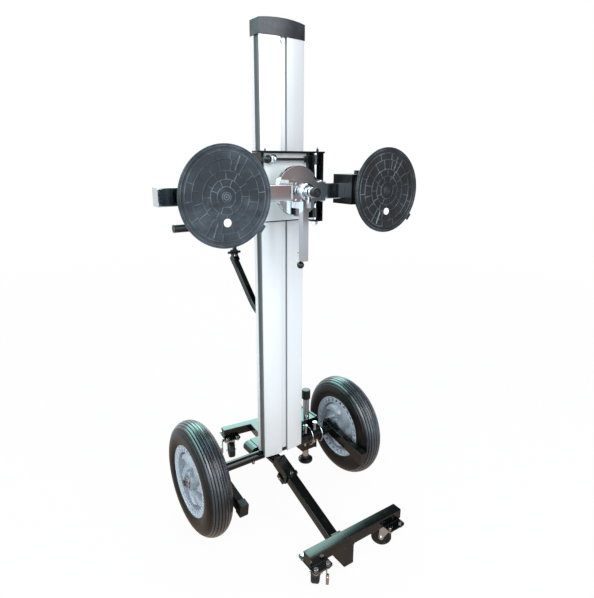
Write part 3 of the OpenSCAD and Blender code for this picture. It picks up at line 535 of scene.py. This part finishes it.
def tyre_profile(count=190):
    """Tyre outline: an ellipse from bead to bead, lowered by smooth grooves on the tread and lines
    on the walls. The second result is 1 on the ribs between the grooves and 0 in them and on the
    walls."""
    bead = math.degrees(math.asin((BEAD_R - TYRE_R + SECTION) / SECTION))
    angle = np.linspace(bead, 180 - bead, count)
    drop = np.zeros(count)
    for k in range(GROOVES):
        off = angle - 90 - GROOVE_STEP * (k - (GROOVES - 1) / 2)
        drop += GROOVE_DEPTH * bell(off, GROOVE_WIDTH)
    rib = 1 - np.clip(drop / (GROOVE_DEPTH / 2), 0, 1)
    rib = rib * (1 - step(np.abs(angle - 90), *TREAD_EDGE))
    for away, depth, width in WALL_MARKS:
        for k in (-1, 1):
            drop += depth * bell(angle - 90 - k * away, width, 2)
    turn = np.radians(angle)
    radius = TYRE_R - SECTION + (SECTION - drop) * np.sin(turn)
    return radius, (TYRE_HALF - drop) * np.cos(turn), rib


def tyre(side, x):
    """Tyre: its profile turned about the axle and closed along the bead seat."""
    count = 220
    radius, along, rib = tyre_profile()
    points = turned(radius * MM, along * MM, count).reshape(-1, 3) + np.array([x, 0, AXLE_Z])
    piece = make("tyre_" + side + "_ribbed", points, quads(len(radius), count, True, True),
                 FINISHES["tyre_rubber"], "wheel_" + side,
                 {"rib": np.repeat(rib, count)})
    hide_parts("tyre_" + side)


# Rims. Each pair is where a form starts and ends, as a radius in mm or as a share of one step of
# the pattern round the rim. Heights in mm are over the wheel's middle plane.

LOBES, LOBE_RISE, LOBE_FALL = 6, (0.0, 0.60), (0.82, 0.97)
LOBE_INNER, LOBE_OUTER = (30, 46), (87, 95)
SWEEP, SWEEP_FROM, SWEEP_OVER = 0.85, 34, 58        # the lobes lag by 0.85 radians over 58 mm
BOWL_HEIGHT, LOBE_HEIGHT = 8, 19
HUB_DISH, HUB_DIP, HUB_EDGE = (22, 27), 2, (28, 38)
FINS, FIN_START, FIN_END = 28, (0.05, 0.12), 0.07
POCKET_WIDTH, POCKET_TIP, TAPER_FROM, TAPER_OVER = 0.62, 0.04, 97, 18
POCKET_INNER, POCKET_OUTER, POCKET_DEPTH = (97.0, 98.0), (111, 112.5), 10
RING_HEIGHT, RING_INNER, RING_RISE, RING_LIP = 34, (92.0, 95.0), 3, (113, 114.5)
OUTER_ROUND, OUTER_DROP = (116.6, 118.3), 1.6
# Painted shade in the valleys: how dark and where, before the lobes rise and after they drop
RISE_SHADE, RISE_VALLEY, DROP_SHADE, DROP_VALLEY = 0.30, (0.02, 0.20), 0.50, (0.85, 0.96)
VALLEY_INNER, VALLEY_OUTER = (36, 46), (88, 93)
# Painted shade in the seams by the ring and round the bore: how dark, and where
RING_SHADE, RING_SEAM_INNER, RING_SEAM_OUTER = 0.35, (89, 92), (94.2, 95.4)
BORE_SHADE, BORE_SEAM, BORE_SEAM_WIDTH = 0.5, 13.0, 1.6
RIM_ROWS = np.concatenate([
    [10.05, 14, 20, 22, 23.5, 25, 27], np.arange(28, 88, 2.2), np.arange(88, 99, 0.8),
    np.arange(99.5, 114, 1.2), [115, 116.6, 117.6, 118.2]])


def rim_face(radius, angle):
    """Rim face height over the wheel's middle plane: a flat hub, a bowl with swirling lobes that
    rise slowly and drop steeply like petals, a step, a ring with three-cornered pockets that narrow
    outwards, and a lip. The second result is how much painted shade each point gets, 0 to 1: in the
    pockets, in the valleys before each lobe rises and after it drops, and in the seams by the ring
    and round the bore."""
    swirl = np.mod(LOBES * (angle - SWEEP * (radius - SWEEP_FROM) / SWEEP_OVER) / TAU, 1)
    petal = step(swirl, *LOBE_RISE) * (1 - step(swirl, *LOBE_FALL))
    reach = step(radius, *LOBE_INNER) * (1 - step(radius, *LOBE_OUTER))
    height = BOWL_HEIGHT + LOBE_HEIGHT * petal * reach
    hub = RIM_HALF - HUB_DIP * step(radius, *HUB_DISH)
    height = height + (hub - height) * (1 - step(radius, *HUB_EDGE))
    # Painted shade in the valleys before each lobe rises and after it drops
    valley = RISE_SHADE * (1 - step(swirl, *RISE_VALLEY)) + DROP_SHADE * step(swirl, *DROP_VALLEY)
    valley = valley * step(radius, *VALLEY_INNER) * (1 - step(radius, *VALLEY_OUTER))
    fin = np.mod(FINS * angle / TAU, 1)
    taper = 1 - np.clip((radius - TAPER_FROM) / TAPER_OVER, 0, 1)
    width = POCKET_WIDTH * taper + POCKET_TIP
    pocket = step(fin, *FIN_START) * (1 - step(fin, width, width + FIN_END))
    pocket = pocket * step(radius, *POCKET_INNER) * (1 - step(radius, *POCKET_OUTER))
    ring = RING_HEIGHT + RING_RISE * step(radius, *RING_LIP) - POCKET_DEPTH * pocket
    height = height + (ring - height) * step(radius, *RING_INNER)
    # Painted shade in the seams by the ring and round the bore
    seam = RING_SHADE * step(radius, *RING_SEAM_INNER) * (1 - step(radius, *RING_SEAM_OUTER))
    seam = seam + BORE_SHADE * bell(radius - BORE_SEAM, BORE_SEAM_WIDTH)
    shaded = np.maximum(np.maximum(valley, seam), pocket)
    return height - OUTER_DROP * step(radius, *OUTER_ROUND), shaded


def rim(side, x):
    """Rim: both faces from rim_face, joined by the bead seat outside and the bore inside."""
    count = 420
    angle = np.arange(count) * TAU / count
    r, a = np.meshgrid(RIM_ROWS, angle, indexing="ij")
    (front, front_shade), (back, back_shade) = rim_face(r, a), rim_face(r, -a)
    r_all, a_all = np.vstack([r, r[::-1]]), np.vstack([a, a[::-1]])
    along = np.vstack([front, -back[::-1]])
    points = np.stack([along * MM, r_all * MM * np.cos(a_all), r_all * MM * np.sin(a_all)], axis=-1)
    points = points.reshape(-1, 3) + np.array([x, 0, AXLE_Z])
    # The pocket marks carry the painted shade of the pockets, the valleys and the seams
    marks = {"pocket": np.vstack([front_shade, back_shade[::-1]])}
    piece = make("rim_" + side + "_lobed", points, quads(2 * len(RIM_ROWS), count, True, True),
                 FINISHES["rim_grey"], "wheel_" + side, marks)
    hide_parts("rim_" + side)


HUB_BOLTS, BOLT_CIRCLE, FIRST_BOLT, BOLT_PROUD = 5, 20, 0.3, 0.6     # 0.3 is in radians
BOLT_HEAD = [(0.01, -1.4), (2.2, -1.4), (2.4, 0.2), (1.6, 1.0), (0.01, 1.1)]


def hub_bolts(side, x):
    """Five small bolt heads in a circle round each face of the hub."""
    for face in (-1, 1):
        for k in range(HUB_BOLTS):
            a = k * TAU / HUB_BOLTS + FIRST_BOLT
            centre = (x / MM + face * (RIM_HALF + BOLT_PROUD), BOLT_CIRCLE * math.cos(a),
                      AXLE_Z / MM + BOLT_CIRCLE * math.sin(a))
            lathe("hub_bolt_%s_%d_%d" % (side, face + 1, k), BOLT_HEAD, centre, "x", PLASTIC,
                  "wheel_" + side, 12)


for side in ("left", "right"):
    low, high = box_of("tyre_" + side)
    middle = float((low[0] + high[0]) / 2)
    tyre(side, middle)
    rim(side, middle)
    hub_bolts(side, middle)


# Suction pads. Radii are shares of the pad's outer radius unless they say mm.

PAD_RINGS = (0.095, 0.20, 0.34, 0.50, 0.72, 0.87)
# Spokes between two radii: how many, and the turn of the first one in degrees
PAD_SPOKES = ((0.20, 0.34, 8, 22.5), (0.34, 0.50, 12, 0.0), (0.50, 0.72, 16, 11.25),
              (0.72, 0.87, 14, 5.0))
RIDGE_HALF, RIDGE_HEIGHT, SPOKE_SHARE = 1.0, 1.9, 0.9   # mm, mm, of a ring's height
MIDDLE_RIDGES = ((7, 1.6), (0, 2.5))    # mm: radius and half width
SLASH_TURN, SLASH_HALF = 68, 1.8        # degrees, mm
SLASH_START, SLASH_END = (0.52, 0.55), (0.82, 0.85)
DISH_RIM, DISH_MIDDLE = 2.2, 1.2        # mm: depth at the edge, and more in the middle
LIP_START, LIP_FULL, LIP_GROOVE, LIP_PALE = 0.925, 0.945, 0.972, 0.35
GROOVE_HALF, GROOVE_DEEP = 1.1, 1.3     # mm: groove in the lip
# Offsets in mm of the points across a ridge and across the lip's groove
RIDGE_POINTS = np.array([-2.0, -1.5, -1.1, 0, 1.1, 1.5, 2.0])
GROOVE_POINTS = np.array([-2, -1.4, -1, 0, 1, 1.4, 2])
# Pull tab in mm: how far in from the pad's edge and out past it, its depths, half width, rounding
TAB_IN, TAB_OUT, TAB_FRONT, TAB_BACK, TAB_HALF, TAB_ROUND = 3, 9.5, 2, 7, 11, 1.8
TAB_TURN = 40                           # degrees from straight right, downwards
FILTER_DROP = 62                        # mm from the pad's middle down to the filter
FILTER = [(0.01, 0.2), (6, 0.0), (9.6, 0.5), (10.4, 1.4), (10.4, 3.2), (0.01, 3.2)]
SHELL_DEPTH = 24.0                      # mm: the depth for which the back's profile is written


def shell_profile(edge):
    """The pad's rounded lip and coned back, as (radius, depth) in mm."""
    return np.array([(edge, 1.4), (edge, 5.2), (edge - 1.2, 7.4), (edge - 4, 9.4),
                     (0.9 * edge, 12), (0.84 * edge, 17), (0.82 * edge, 23.7), (0.3, 23.9)])


def pad_front(radius, angle, edge):
    """Depth of the pad's face below its lip: a shallow dish with raised rings and with spokes
    between them, each ridge a flat-topped bell curve across its width, and two longer ridges on one
    slanting diameter. The second result is how pale each point is painted: a painted highlight on
    the ridges, and a paler lip outside its groove."""
    ridge = sum(bell(radius - at, half) for at, half in MIDDLE_RIDGES)
    for k in PAD_RINGS:
        ridge = ridge + bell(radius - k * edge, RIDGE_HALF)
    for low, high, count, offset in PAD_SPOKES:
        turn = (angle - math.radians(offset)) * count / TAU
        arc = (turn - np.round(turn)) * TAU / count * radius
        inside = (radius > low * edge) & (radius < high * edge)
        ridge = ridge + np.where(inside, SPOKE_SHARE * bell(arc, RIDGE_HALF), 0)
    turn = (angle - math.radians(SLASH_TURN)) * 2 / TAU
    arc = (turn - np.round(turn)) * TAU / 2 * radius
    (start, full), (fade, end) = SLASH_START, SLASH_END
    slash = bell(arc, SLASH_HALF) * step(radius, start * edge, full * edge)
    slash = slash * (1 - step(radius, fade * edge, end * edge))
    ridge = np.clip(ridge + slash, 0, 1)
    depth = DISH_RIM + DISH_MIDDLE * (1 - (radius / edge) ** 2) - RIDGE_HEIGHT * ridge
    lip = step(radius, LIP_START * edge, LIP_FULL * edge)
    groove = bell(radius - LIP_GROOVE * edge, GROOVE_HALF)
    # Painted highlight on the ridges, and a paler lip outside its groove
    pale = (ridge + slash) * (1 - lip) + LIP_PALE * lip * (1 - groove)
    return depth * (1 - lip) + GROOVE_DEEP * groove * lip, pale


def pad_rows(edge):
    """Radii in mm at which the pad's face has points: close together across each ridge and at the
    lip, wider in between."""
    rows = [0.3, 2, 3.2, 5, 7, 9]
    for a, b in zip(PAD_RINGS, PAD_RINGS[1:] + (LIP_START,)):
        rows += list(a * edge + RIDGE_POINTS)
        rows += list(np.linspace(a * edge + 4, b * edge - 3.5, 5))
    rows += list(np.linspace(LIP_START * edge, LIP_FULL * edge, 5))
    rows += list(edge * LIP_GROOVE + GROOVE_POINTS)
    return np.array(sorted(set(np.round(rows + [edge - 1.2], 3))))


def pad(side):
    """Suction pad: the face grid, the round lip and the coned back, one closed surface, with its
    pull tab and its filter."""
    low, high = box_of("pad_" + side)
    edge = (high[2] - low[2]) / 2 / MM
    centre = np.array([low[0] / MM + edge, 0, (low[2] + high[2]) / 2 / MM])
    face_y, back_y = low[1] / MM, high[1] / MM
    count = 480
    angle = np.arange(count) * TAU / count
    r, a = np.meshgrid(pad_rows(edge), angle, indexing="ij")
    depth, ridge = pad_front(r, a, edge)
    shell = shell_profile(edge)
    r2, a2 = np.meshgrid(shell[:, 0], angle, indexing="ij")
    y2 = face_y + np.repeat(shell[:, 1:2], count, axis=1) * (back_y - face_y) / SHELL_DEPTH
    r, a, y = np.vstack([r, r2]), np.vstack([a, a2]), np.vstack([face_y + depth, y2])
    points = np.stack([centre[0] + r * np.cos(a), y, centre[2] + r * np.sin(a)], axis=-1)
    # The rib marks carry the painted highlight on the ridges and the paler lip
    marks = {"rib": np.vstack([ridge, np.zeros_like(r2)])}
    piece = make("pad_%s_ringed" % side, points.reshape(-1, 3) * MM,
                 quads(len(r), count, True, True), FINISHES["pad_rubber"], "suction_" + side,
                 marks)
    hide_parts("pad_" + side)
    tab_x = centre[0] + edge
    soft_block("pad_tab_" + side, (tab_x - TAB_IN, face_y + TAB_FRONT, centre[2] - TAB_HALF),
               (tab_x + TAB_OUT, face_y + TAB_BACK, centre[2] + TAB_HALF), TAB_ROUND,
               FINISHES["pad_rubber"], "suction_" + side,
               Matrix.Rotation(math.radians(TAB_TURN), 3, "Y"), (centre[0], 0, centre[2]))
    lathe("pad_filter_" + side, FILTER, (centre[0], face_y, centre[2] - FILTER_DROP), "y", felt,
          "suction_" + side, 40)


felt = white_felt()
for side in ("left", "right"):
    pad(side)


# Turning head details: profiles are (radius, along) in mm

KNOB_R, LATCH_R, LATCH_COLLAR_X = 13, 12, -62
knob_low, knob_high = box_of("clamp_knob", MM)
knob_x, knob_front, knob_z = (knob_low[0] + knob_high[0]) / 2, knob_low[1], knob_high[2] - KNOB_R
saddle_front = box_of("saddle", MM)[0][1]
latch_low, latch_high = box_of("latch_bar", MM)
latch_y, latch_z = latch_high[1] - LATCH_R, (latch_low[2] + latch_high[2]) / 2
# How far behind the knob's front the parts on it start
GRIP_Y, BAND_Y, COLLAR_Y, LEVER_Y = -0.4, 19, 33, (35, 43)
LEVER_HALF, LEVER_BELOW, LEVER_TOP, LEVER_ROUND = 5.6, 1, 5, 2.2
FLANGE_PROUD = 3.6
CLIP_X, CLIP_Z, CLIP_HALF, CLIP_WIRE = 60, 1104.5, 25.5, 1.6
CLIP_SIDEWAYS, CLIP_AWAY, CLIP_START, CLIP_LENGTH = 5, 3.5, 6, 38
FLUTES, FLUTE_DEPTH = 8, 0.06
GRIP = np.array([(0.3, 0.0), (7, 0.2), (11.5, 1.8), (13.4, 5), (13.6, 14), (13.2, 22), (10.5, 26),
                 (7.5, 29), (0.3, 29.6)])
KNOB_BAND = [(10.2, 0), (14.2, 0), (14.8, 1), (14.8, 4), (14.2, 5), (10.2, 5)]
KNOB_COLLAR = [(6.2, 0), (13.4, 0), (14, 1), (14, 14), (12.6, 15.6), (6.2, 15.6)]
KNOB_FLANGE = [(8, 0), (23.4, 0), (24.4, 1), (24.4, 3), (23.4, 4), (8, 4)]
LATCH_COLLAR = [(9, 0), (12.4, 0), (13, 0.8), (13, 7.8), (12.4, 8.6), (9, 8.6)]


def fluted_knob():
    """Knob grip: a turned form whose radius swells and dips round its rim in eight flutes, with a
    crowned end."""
    count = 96
    angle = np.arange(count) * TAU / count
    r = np.outer(GRIP[:, 0], 1 - FLUTE_DEPTH * (0.5 + 0.5 * np.cos(FLUTES * angle)))
    y = np.repeat(GRIP[:, 1:2], count, axis=1) + knob_front + GRIP_Y
    points = np.stack([knob_x + r * np.cos(angle), y, knob_z + r * np.sin(angle)], axis=-1)
    make("knob_grip", points.reshape(-1, 3) * MM, quads(len(GRIP), count, True, True), PLASTIC,
         "clamp")


def sleeve_clip(name, way):
    """Wire clip under (way -1) or over (way 1) the clamp sleeve: from front to back it arches
    sideways and away from the sleeve by one half wave."""
    t = np.linspace(0, math.pi, 16)
    path = np.stack([CLIP_X + CLIP_SIDEWAYS * np.sin(t),
                     saddle_front + CLIP_START + CLIP_LENGTH * (t / math.pi),
                     CLIP_Z + way * (CLIP_HALF + CLIP_AWAY * np.sin(t))], axis=-1)
    wire(name, path, CLIP_WIRE, ZINC, "head")


fluted_knob()
lathe("knob_band", KNOB_BAND, (knob_x, knob_front + BAND_Y, knob_z), "y", ZINC, "clamp")
lathe("knob_collar", KNOB_COLLAR, (knob_x, knob_front + COLLAR_Y, knob_z), "y", ZINC, "clamp")
soft_block("knob_lever", (knob_x - LEVER_HALF, knob_front + LEVER_Y[0], knob_low[2] - LEVER_BELOW),
           (knob_x + LEVER_HALF, knob_front + LEVER_Y[1], knob_z - LEVER_TOP), LEVER_ROUND, ZINC,
           "clamp")
lathe("knob_flange", KNOB_FLANGE, (knob_x, saddle_front - FLANGE_PROUD, knob_z), "y", ZINC,
      BODY_OF["saddle"])
lathe("latch_collar", LATCH_COLLAR, (LATCH_COLLAR_X, latch_y, latch_z), "x", ZINC, "latch")
sleeve_clip("sleeve_clip_0", -1)
sleeve_clip("sleeve_clip_1", 1)


# Toe pieces of the castors' brakes. Heights in mm over the floor.

FORK_TOP, LEVER_TREAD = (81.5, 86), (12, 40)
TOE_HALF, TOE_INSIDE, TOE_OUTSIDE = 8.4, 0.5, 7.5
TOE_LOW, TOE_HIGH, TOE_ROUND = 13, 42, 3.4


def spot(node, low, high):
    """Middle in X and Y of the node's points between two heights, in mm."""
    thing = frame["nodes"][node]
    points = np.array([thing.matrix_world @ v.co for v in thing.data.vertices]) / MM
    level = points[(points[:, 2] > low) & (points[:, 2] < high)]
    return (level[:, :2].max(axis=0) + level[:, :2].min(axis=0)) / 2


def brake_toe(corner):
    """Round toe piece on the outer side of a brake lever's tread."""
    axis = spot("fork_" + corner, *FORK_TOP)
    out = spot("brake_" + corner, *LEVER_TREAD) - axis
    reach = np.linalg.norm(out)
    turn = Matrix.Rotation(math.atan2(-out[0], out[1]), 3, "Z")
    soft_block("brake_toe_" + corner, (axis[0] - TOE_HALF, axis[1] + reach - TOE_INSIDE, TOE_LOW),
               (axis[0] + TOE_HALF, axis[1] + reach + TOE_OUTSIDE, TOE_HIGH), TOE_ROUND, ZINC,
               BODY_OF["brake_" + corner], turn, (axis[0], axis[1], 0))


for corner in ("front_left", "front_right", "rear_left", "rear_right"):
    brake_toe(corner)


# Weld beads

POST_LEFT, POST_RIGHT = -40.4, -6.0             # front leg's post, under the front bar
BAR_FRONT, BAR_BACK, BAR_LOW = -428, -394, 91   # front bar
CASTOR_X, PLATE_HALF, PLATE_BEAD = (-136.9, 152.0), 30, 1.6      # front castors' adapter plates
SOCKET_X, SOCKET_Y, SOCKET_Z = (124, 136), 20.5, (171.5, 208.5)     # axle half's socket tube
PUDDLE, BEAD_STEP = 3.2, 0.8                    # length of a ripple and of the wire's steps


def weld(name, start, end, radius=2.0):
    """Weld bead: a wire from start to end whose radius ripples like overlapping puddles."""
    start, end = np.asarray(start, float), np.asarray(end, float)
    length = np.linalg.norm(end - start)
    t = np.linspace(0, 1, max(12, int(length / BEAD_STEP)))
    ripple = radius * (0.86 + 0.14 * np.abs(np.sin(t * length / PUDDLE * math.pi / 2)))
    wire(name, start + np.outer(t, end - start), ripple, BLACK, "base", 8)


seam_y, seam_z = BAR_FRONT + 0.5, BAR_LOW + 0.3
weld("weld_post_front", (POST_LEFT, seam_y, BAR_LOW), (POST_RIGHT, seam_y, BAR_LOW))
weld("weld_post_left", (POST_LEFT, BAR_FRONT, BAR_LOW), (POST_LEFT, BAR_BACK, BAR_LOW))
weld("weld_post_right", (POST_RIGHT, BAR_FRONT, BAR_LOW), (POST_RIGHT, BAR_BACK, BAR_LOW))
for k, x in enumerate(CASTOR_X):
    for name, y in (("weld_plate_front_%d", BAR_FRONT), ("weld_plate_back_%d", BAR_BACK)):
        weld(name % k, (x - PLATE_HALF, y, seam_z), (x + PLATE_HALF, y, seam_z), PLATE_BEAD)
for k, z in enumerate(SOCKET_Z):
    weld("weld_socket_%d" % k, (SOCKET_X[0], SOCKET_Y, z), (SOCKET_X[1], SOCKET_Y, z))


# Stage, light and camera

WHITE = (1, 1, 1)
FLOOR_SIZE = 14                         # metres
WARM_FLOOR, COOL_FLOOR = (0.50, 0.38, 0.29), (0.80, 0.90, 0.98)
WARM_REACH = (0.62, 1.0)                # metres from the axle where warm turns cool
SOFT_LIGHT = ((0.0, (0.30, 0.29, 0.28)), (0.10, (0.47, 0.48, 0.50)), (0.45, (0.56, 0.58, 0.60)),
              (1.0, (0.66, 0.68, 0.70)))
TEAL_PANEL, CEILING = (3.4, 6.8, 6.3), (0.08, 0.10, 0.10)
SCREEN_LEFT, SCREEN_TOP = (2.5, 2.9, 3.1), (0.12, 0.14, 0.15)
SCREEN = ((0.54, (0.46, 0.38, 0.37)), (0.69, (0.44, 0.34, 0.32)), (0.76, (0.07, 0.12, 0.14)),
          (0.95, (0.03, 0.045, 0.055)))


def stage_floor():
    """A wide pale floor that the camera sees almost white, whiter far out, with the object's soft
    shadow kept. Gloss sees it warm and dimmer near the object and pale blue further out."""
    bpy.ops.mesh.primitive_plane_add(size=FLOOR_SIZE, location=(0, 0, 0))
    floor = bpy.context.object
    f = Finish("pale floor", Roughness=0.9)
    f.set("Base Color", f.mix(f.noise(3.0, detail=3), (0.80, 0.80, 0.80), (0.84, 0.835, 0.83)))
    x, y = f.axis("X"), f.axis("Y")
    away = (x * x + y * y) ** 0.5
    seen = f.ray("Camera") + 0.9 * f.ray("Glossy") + f.ray("Transmission")
    mirrored = f.mix(f.fade(away, *WARM_REACH), WARM_FLOOR, COOL_FLOOR)
    glow = f.add("ShaderNodeEmission", {}, {"Color": f.mix(f.ray("Glossy"), WHITE, mirrored)})
    far = (away / 6.0).math("MINIMUM", 1.0)
    shown = f.add("ShaderNodeMixShader", {}, [seen.math("MINIMUM", 1.0) * (0.95 + 0.05 * far)])
    f.links.new(f.shader.outputs[0], shown.socket.node.inputs[1])
    f.links.new(glow.socket, shown.socket.node.inputs[2])
    f.links.new(shown.socket, f.nodes["Material Output"].inputs["Surface"])
    floor.data.materials.append(f.material)
    floor.name = "floor"


def world_light():
    """A pale studio: soft grey for the lighting, a white backdrop for the camera. Gloss and glass
    see the room: white behind, a strong teal panel high at the rear left, and in front a pale blue
    screen on the left that turns through brown-grey into dark blue on the right."""
    world = bpy.data.worlds.new("studio")
    bpy.context.scene.world = world
    world.use_nodes = True
    shop = Shop(world.node_tree, "Generated")
    x, y, high = (shop.axis(a) for a in "XYZ")
    soft = shop.ramp(high, *SOFT_LIGHT)
    panel = shop.fade(x - 0.9 * y, 0.06, -0.13) * shop.fade(high, 0.80, 0.68)
    ceiling = shop.mix(panel, CEILING, TEAL_PANEL)
    rear = shop.mix(shop.fade(high, 0.22, 0.50), WHITE, ceiling)
    slant = x / (0 - y).math("MAXIMUM", 0.05)
    screen = shop.mix(shop.fade(slant, 0.52, 0.36), shop.ramp(slant, *SCREEN), SCREEN_LEFT)
    front = shop.mix(shop.fade(high, 0.45, 0.75), screen, SCREEN_TOP)
    room = shop.mix(shop.fade(y, 0.10, -0.10), rear, front)
    mirrored = shop.mix(shop.ray("Glossy").math("MAXIMUM", shop.ray("Transmission")), soft, room)
    seen = shop.mix(shop.ray("Camera"), mirrored, WHITE)
    shop.feed(shop.nodes["Background"].inputs["Color"], seen)


def lamp(name, place, target, size, power, colour=WHITE):
    """A square soft lamp at place that faces target: metres and watts."""
    light = bpy.data.lights.new(name, "AREA")
    light.size = size
    light.energy = power
    light.color = colour
    thing = bpy.data.objects.new(name, light)
    bpy.context.scene.collection.objects.link(thing)
    way = np.array(target, float) - np.array(place, float)
    way /= np.linalg.norm(way)
    right = np.cross(way, (0, 0, 1))
    right /= np.linalg.norm(right)
    up = np.cross(right, way)
    rows = [[right[i], up[i], -way[i], place[i]] for i in range(3)]
    thing.matrix_world = Matrix(rows + [[0, 0, 0, 1]])


# The photograph's camera as it was fitted
YAW, PITCH, ROLL = math.radians(34.863), math.radians(15.662), math.radians(-0.235)
CAMERA_PLACE = (-849.3, -1335.9, 1192.3)
FOCAL_PX, FRAME_PX, SENSOR = 496.25, 598, 36


def photo_camera():
    """A camera at CAMERA_PLACE that looks along yaw and pitch, rolled about its own axis, with the
    focal length in parts of the frame's height."""
    ahead = np.array([math.sin(YAW), math.cos(YAW), 0])
    level = np.array([math.cos(YAW), -math.sin(YAW), 0])
    upright = np.array([0, 0, 1.0])
    view = math.cos(PITCH) * ahead - math.sin(PITCH) * upright
    below = -math.cos(PITCH) * upright - math.sin(PITCH) * ahead
    right = math.cos(ROLL) * level + math.sin(ROLL) * below
    down = -math.sin(ROLL) * level + math.cos(ROLL) * below
    place = np.array(CAMERA_PLACE) * MM
    lens = bpy.data.cameras.new("camera")
    lens.sensor_fit = "VERTICAL"
    lens.sensor_height = SENSOR
    lens.lens = FOCAL_PX * SENSOR / FRAME_PX
    lens.clip_start = 0.05
    camera = bpy.data.objects.new("camera", lens)
    bpy.context.scene.collection.objects.link(camera)
    rows = [[right[i], -down[i], -view[i], place[i]] for i in range(3)]
    camera.matrix_world = Matrix(rows + [[0, 0, 0, 1]])
    bpy.context.scene.camera = camera


stage_floor()
world_light()
lamp("key", (-2.9, -1.7, 2.4), (0, 0, 0.8), 2.0, 78)
lamp("fill", (0.9, -2.7, 2.5), (0, 0, 0.6), 1.8, 44, (0.95, 0.98, 1.0))
lamp("rear", (1.2, 2.6, 2.4), (0, 0, 0.7), 2.0, 22, (0.92, 1.0, 0.98))
photo_camera()
bpy.context.scene.view_settings.view_transform = "Standard"
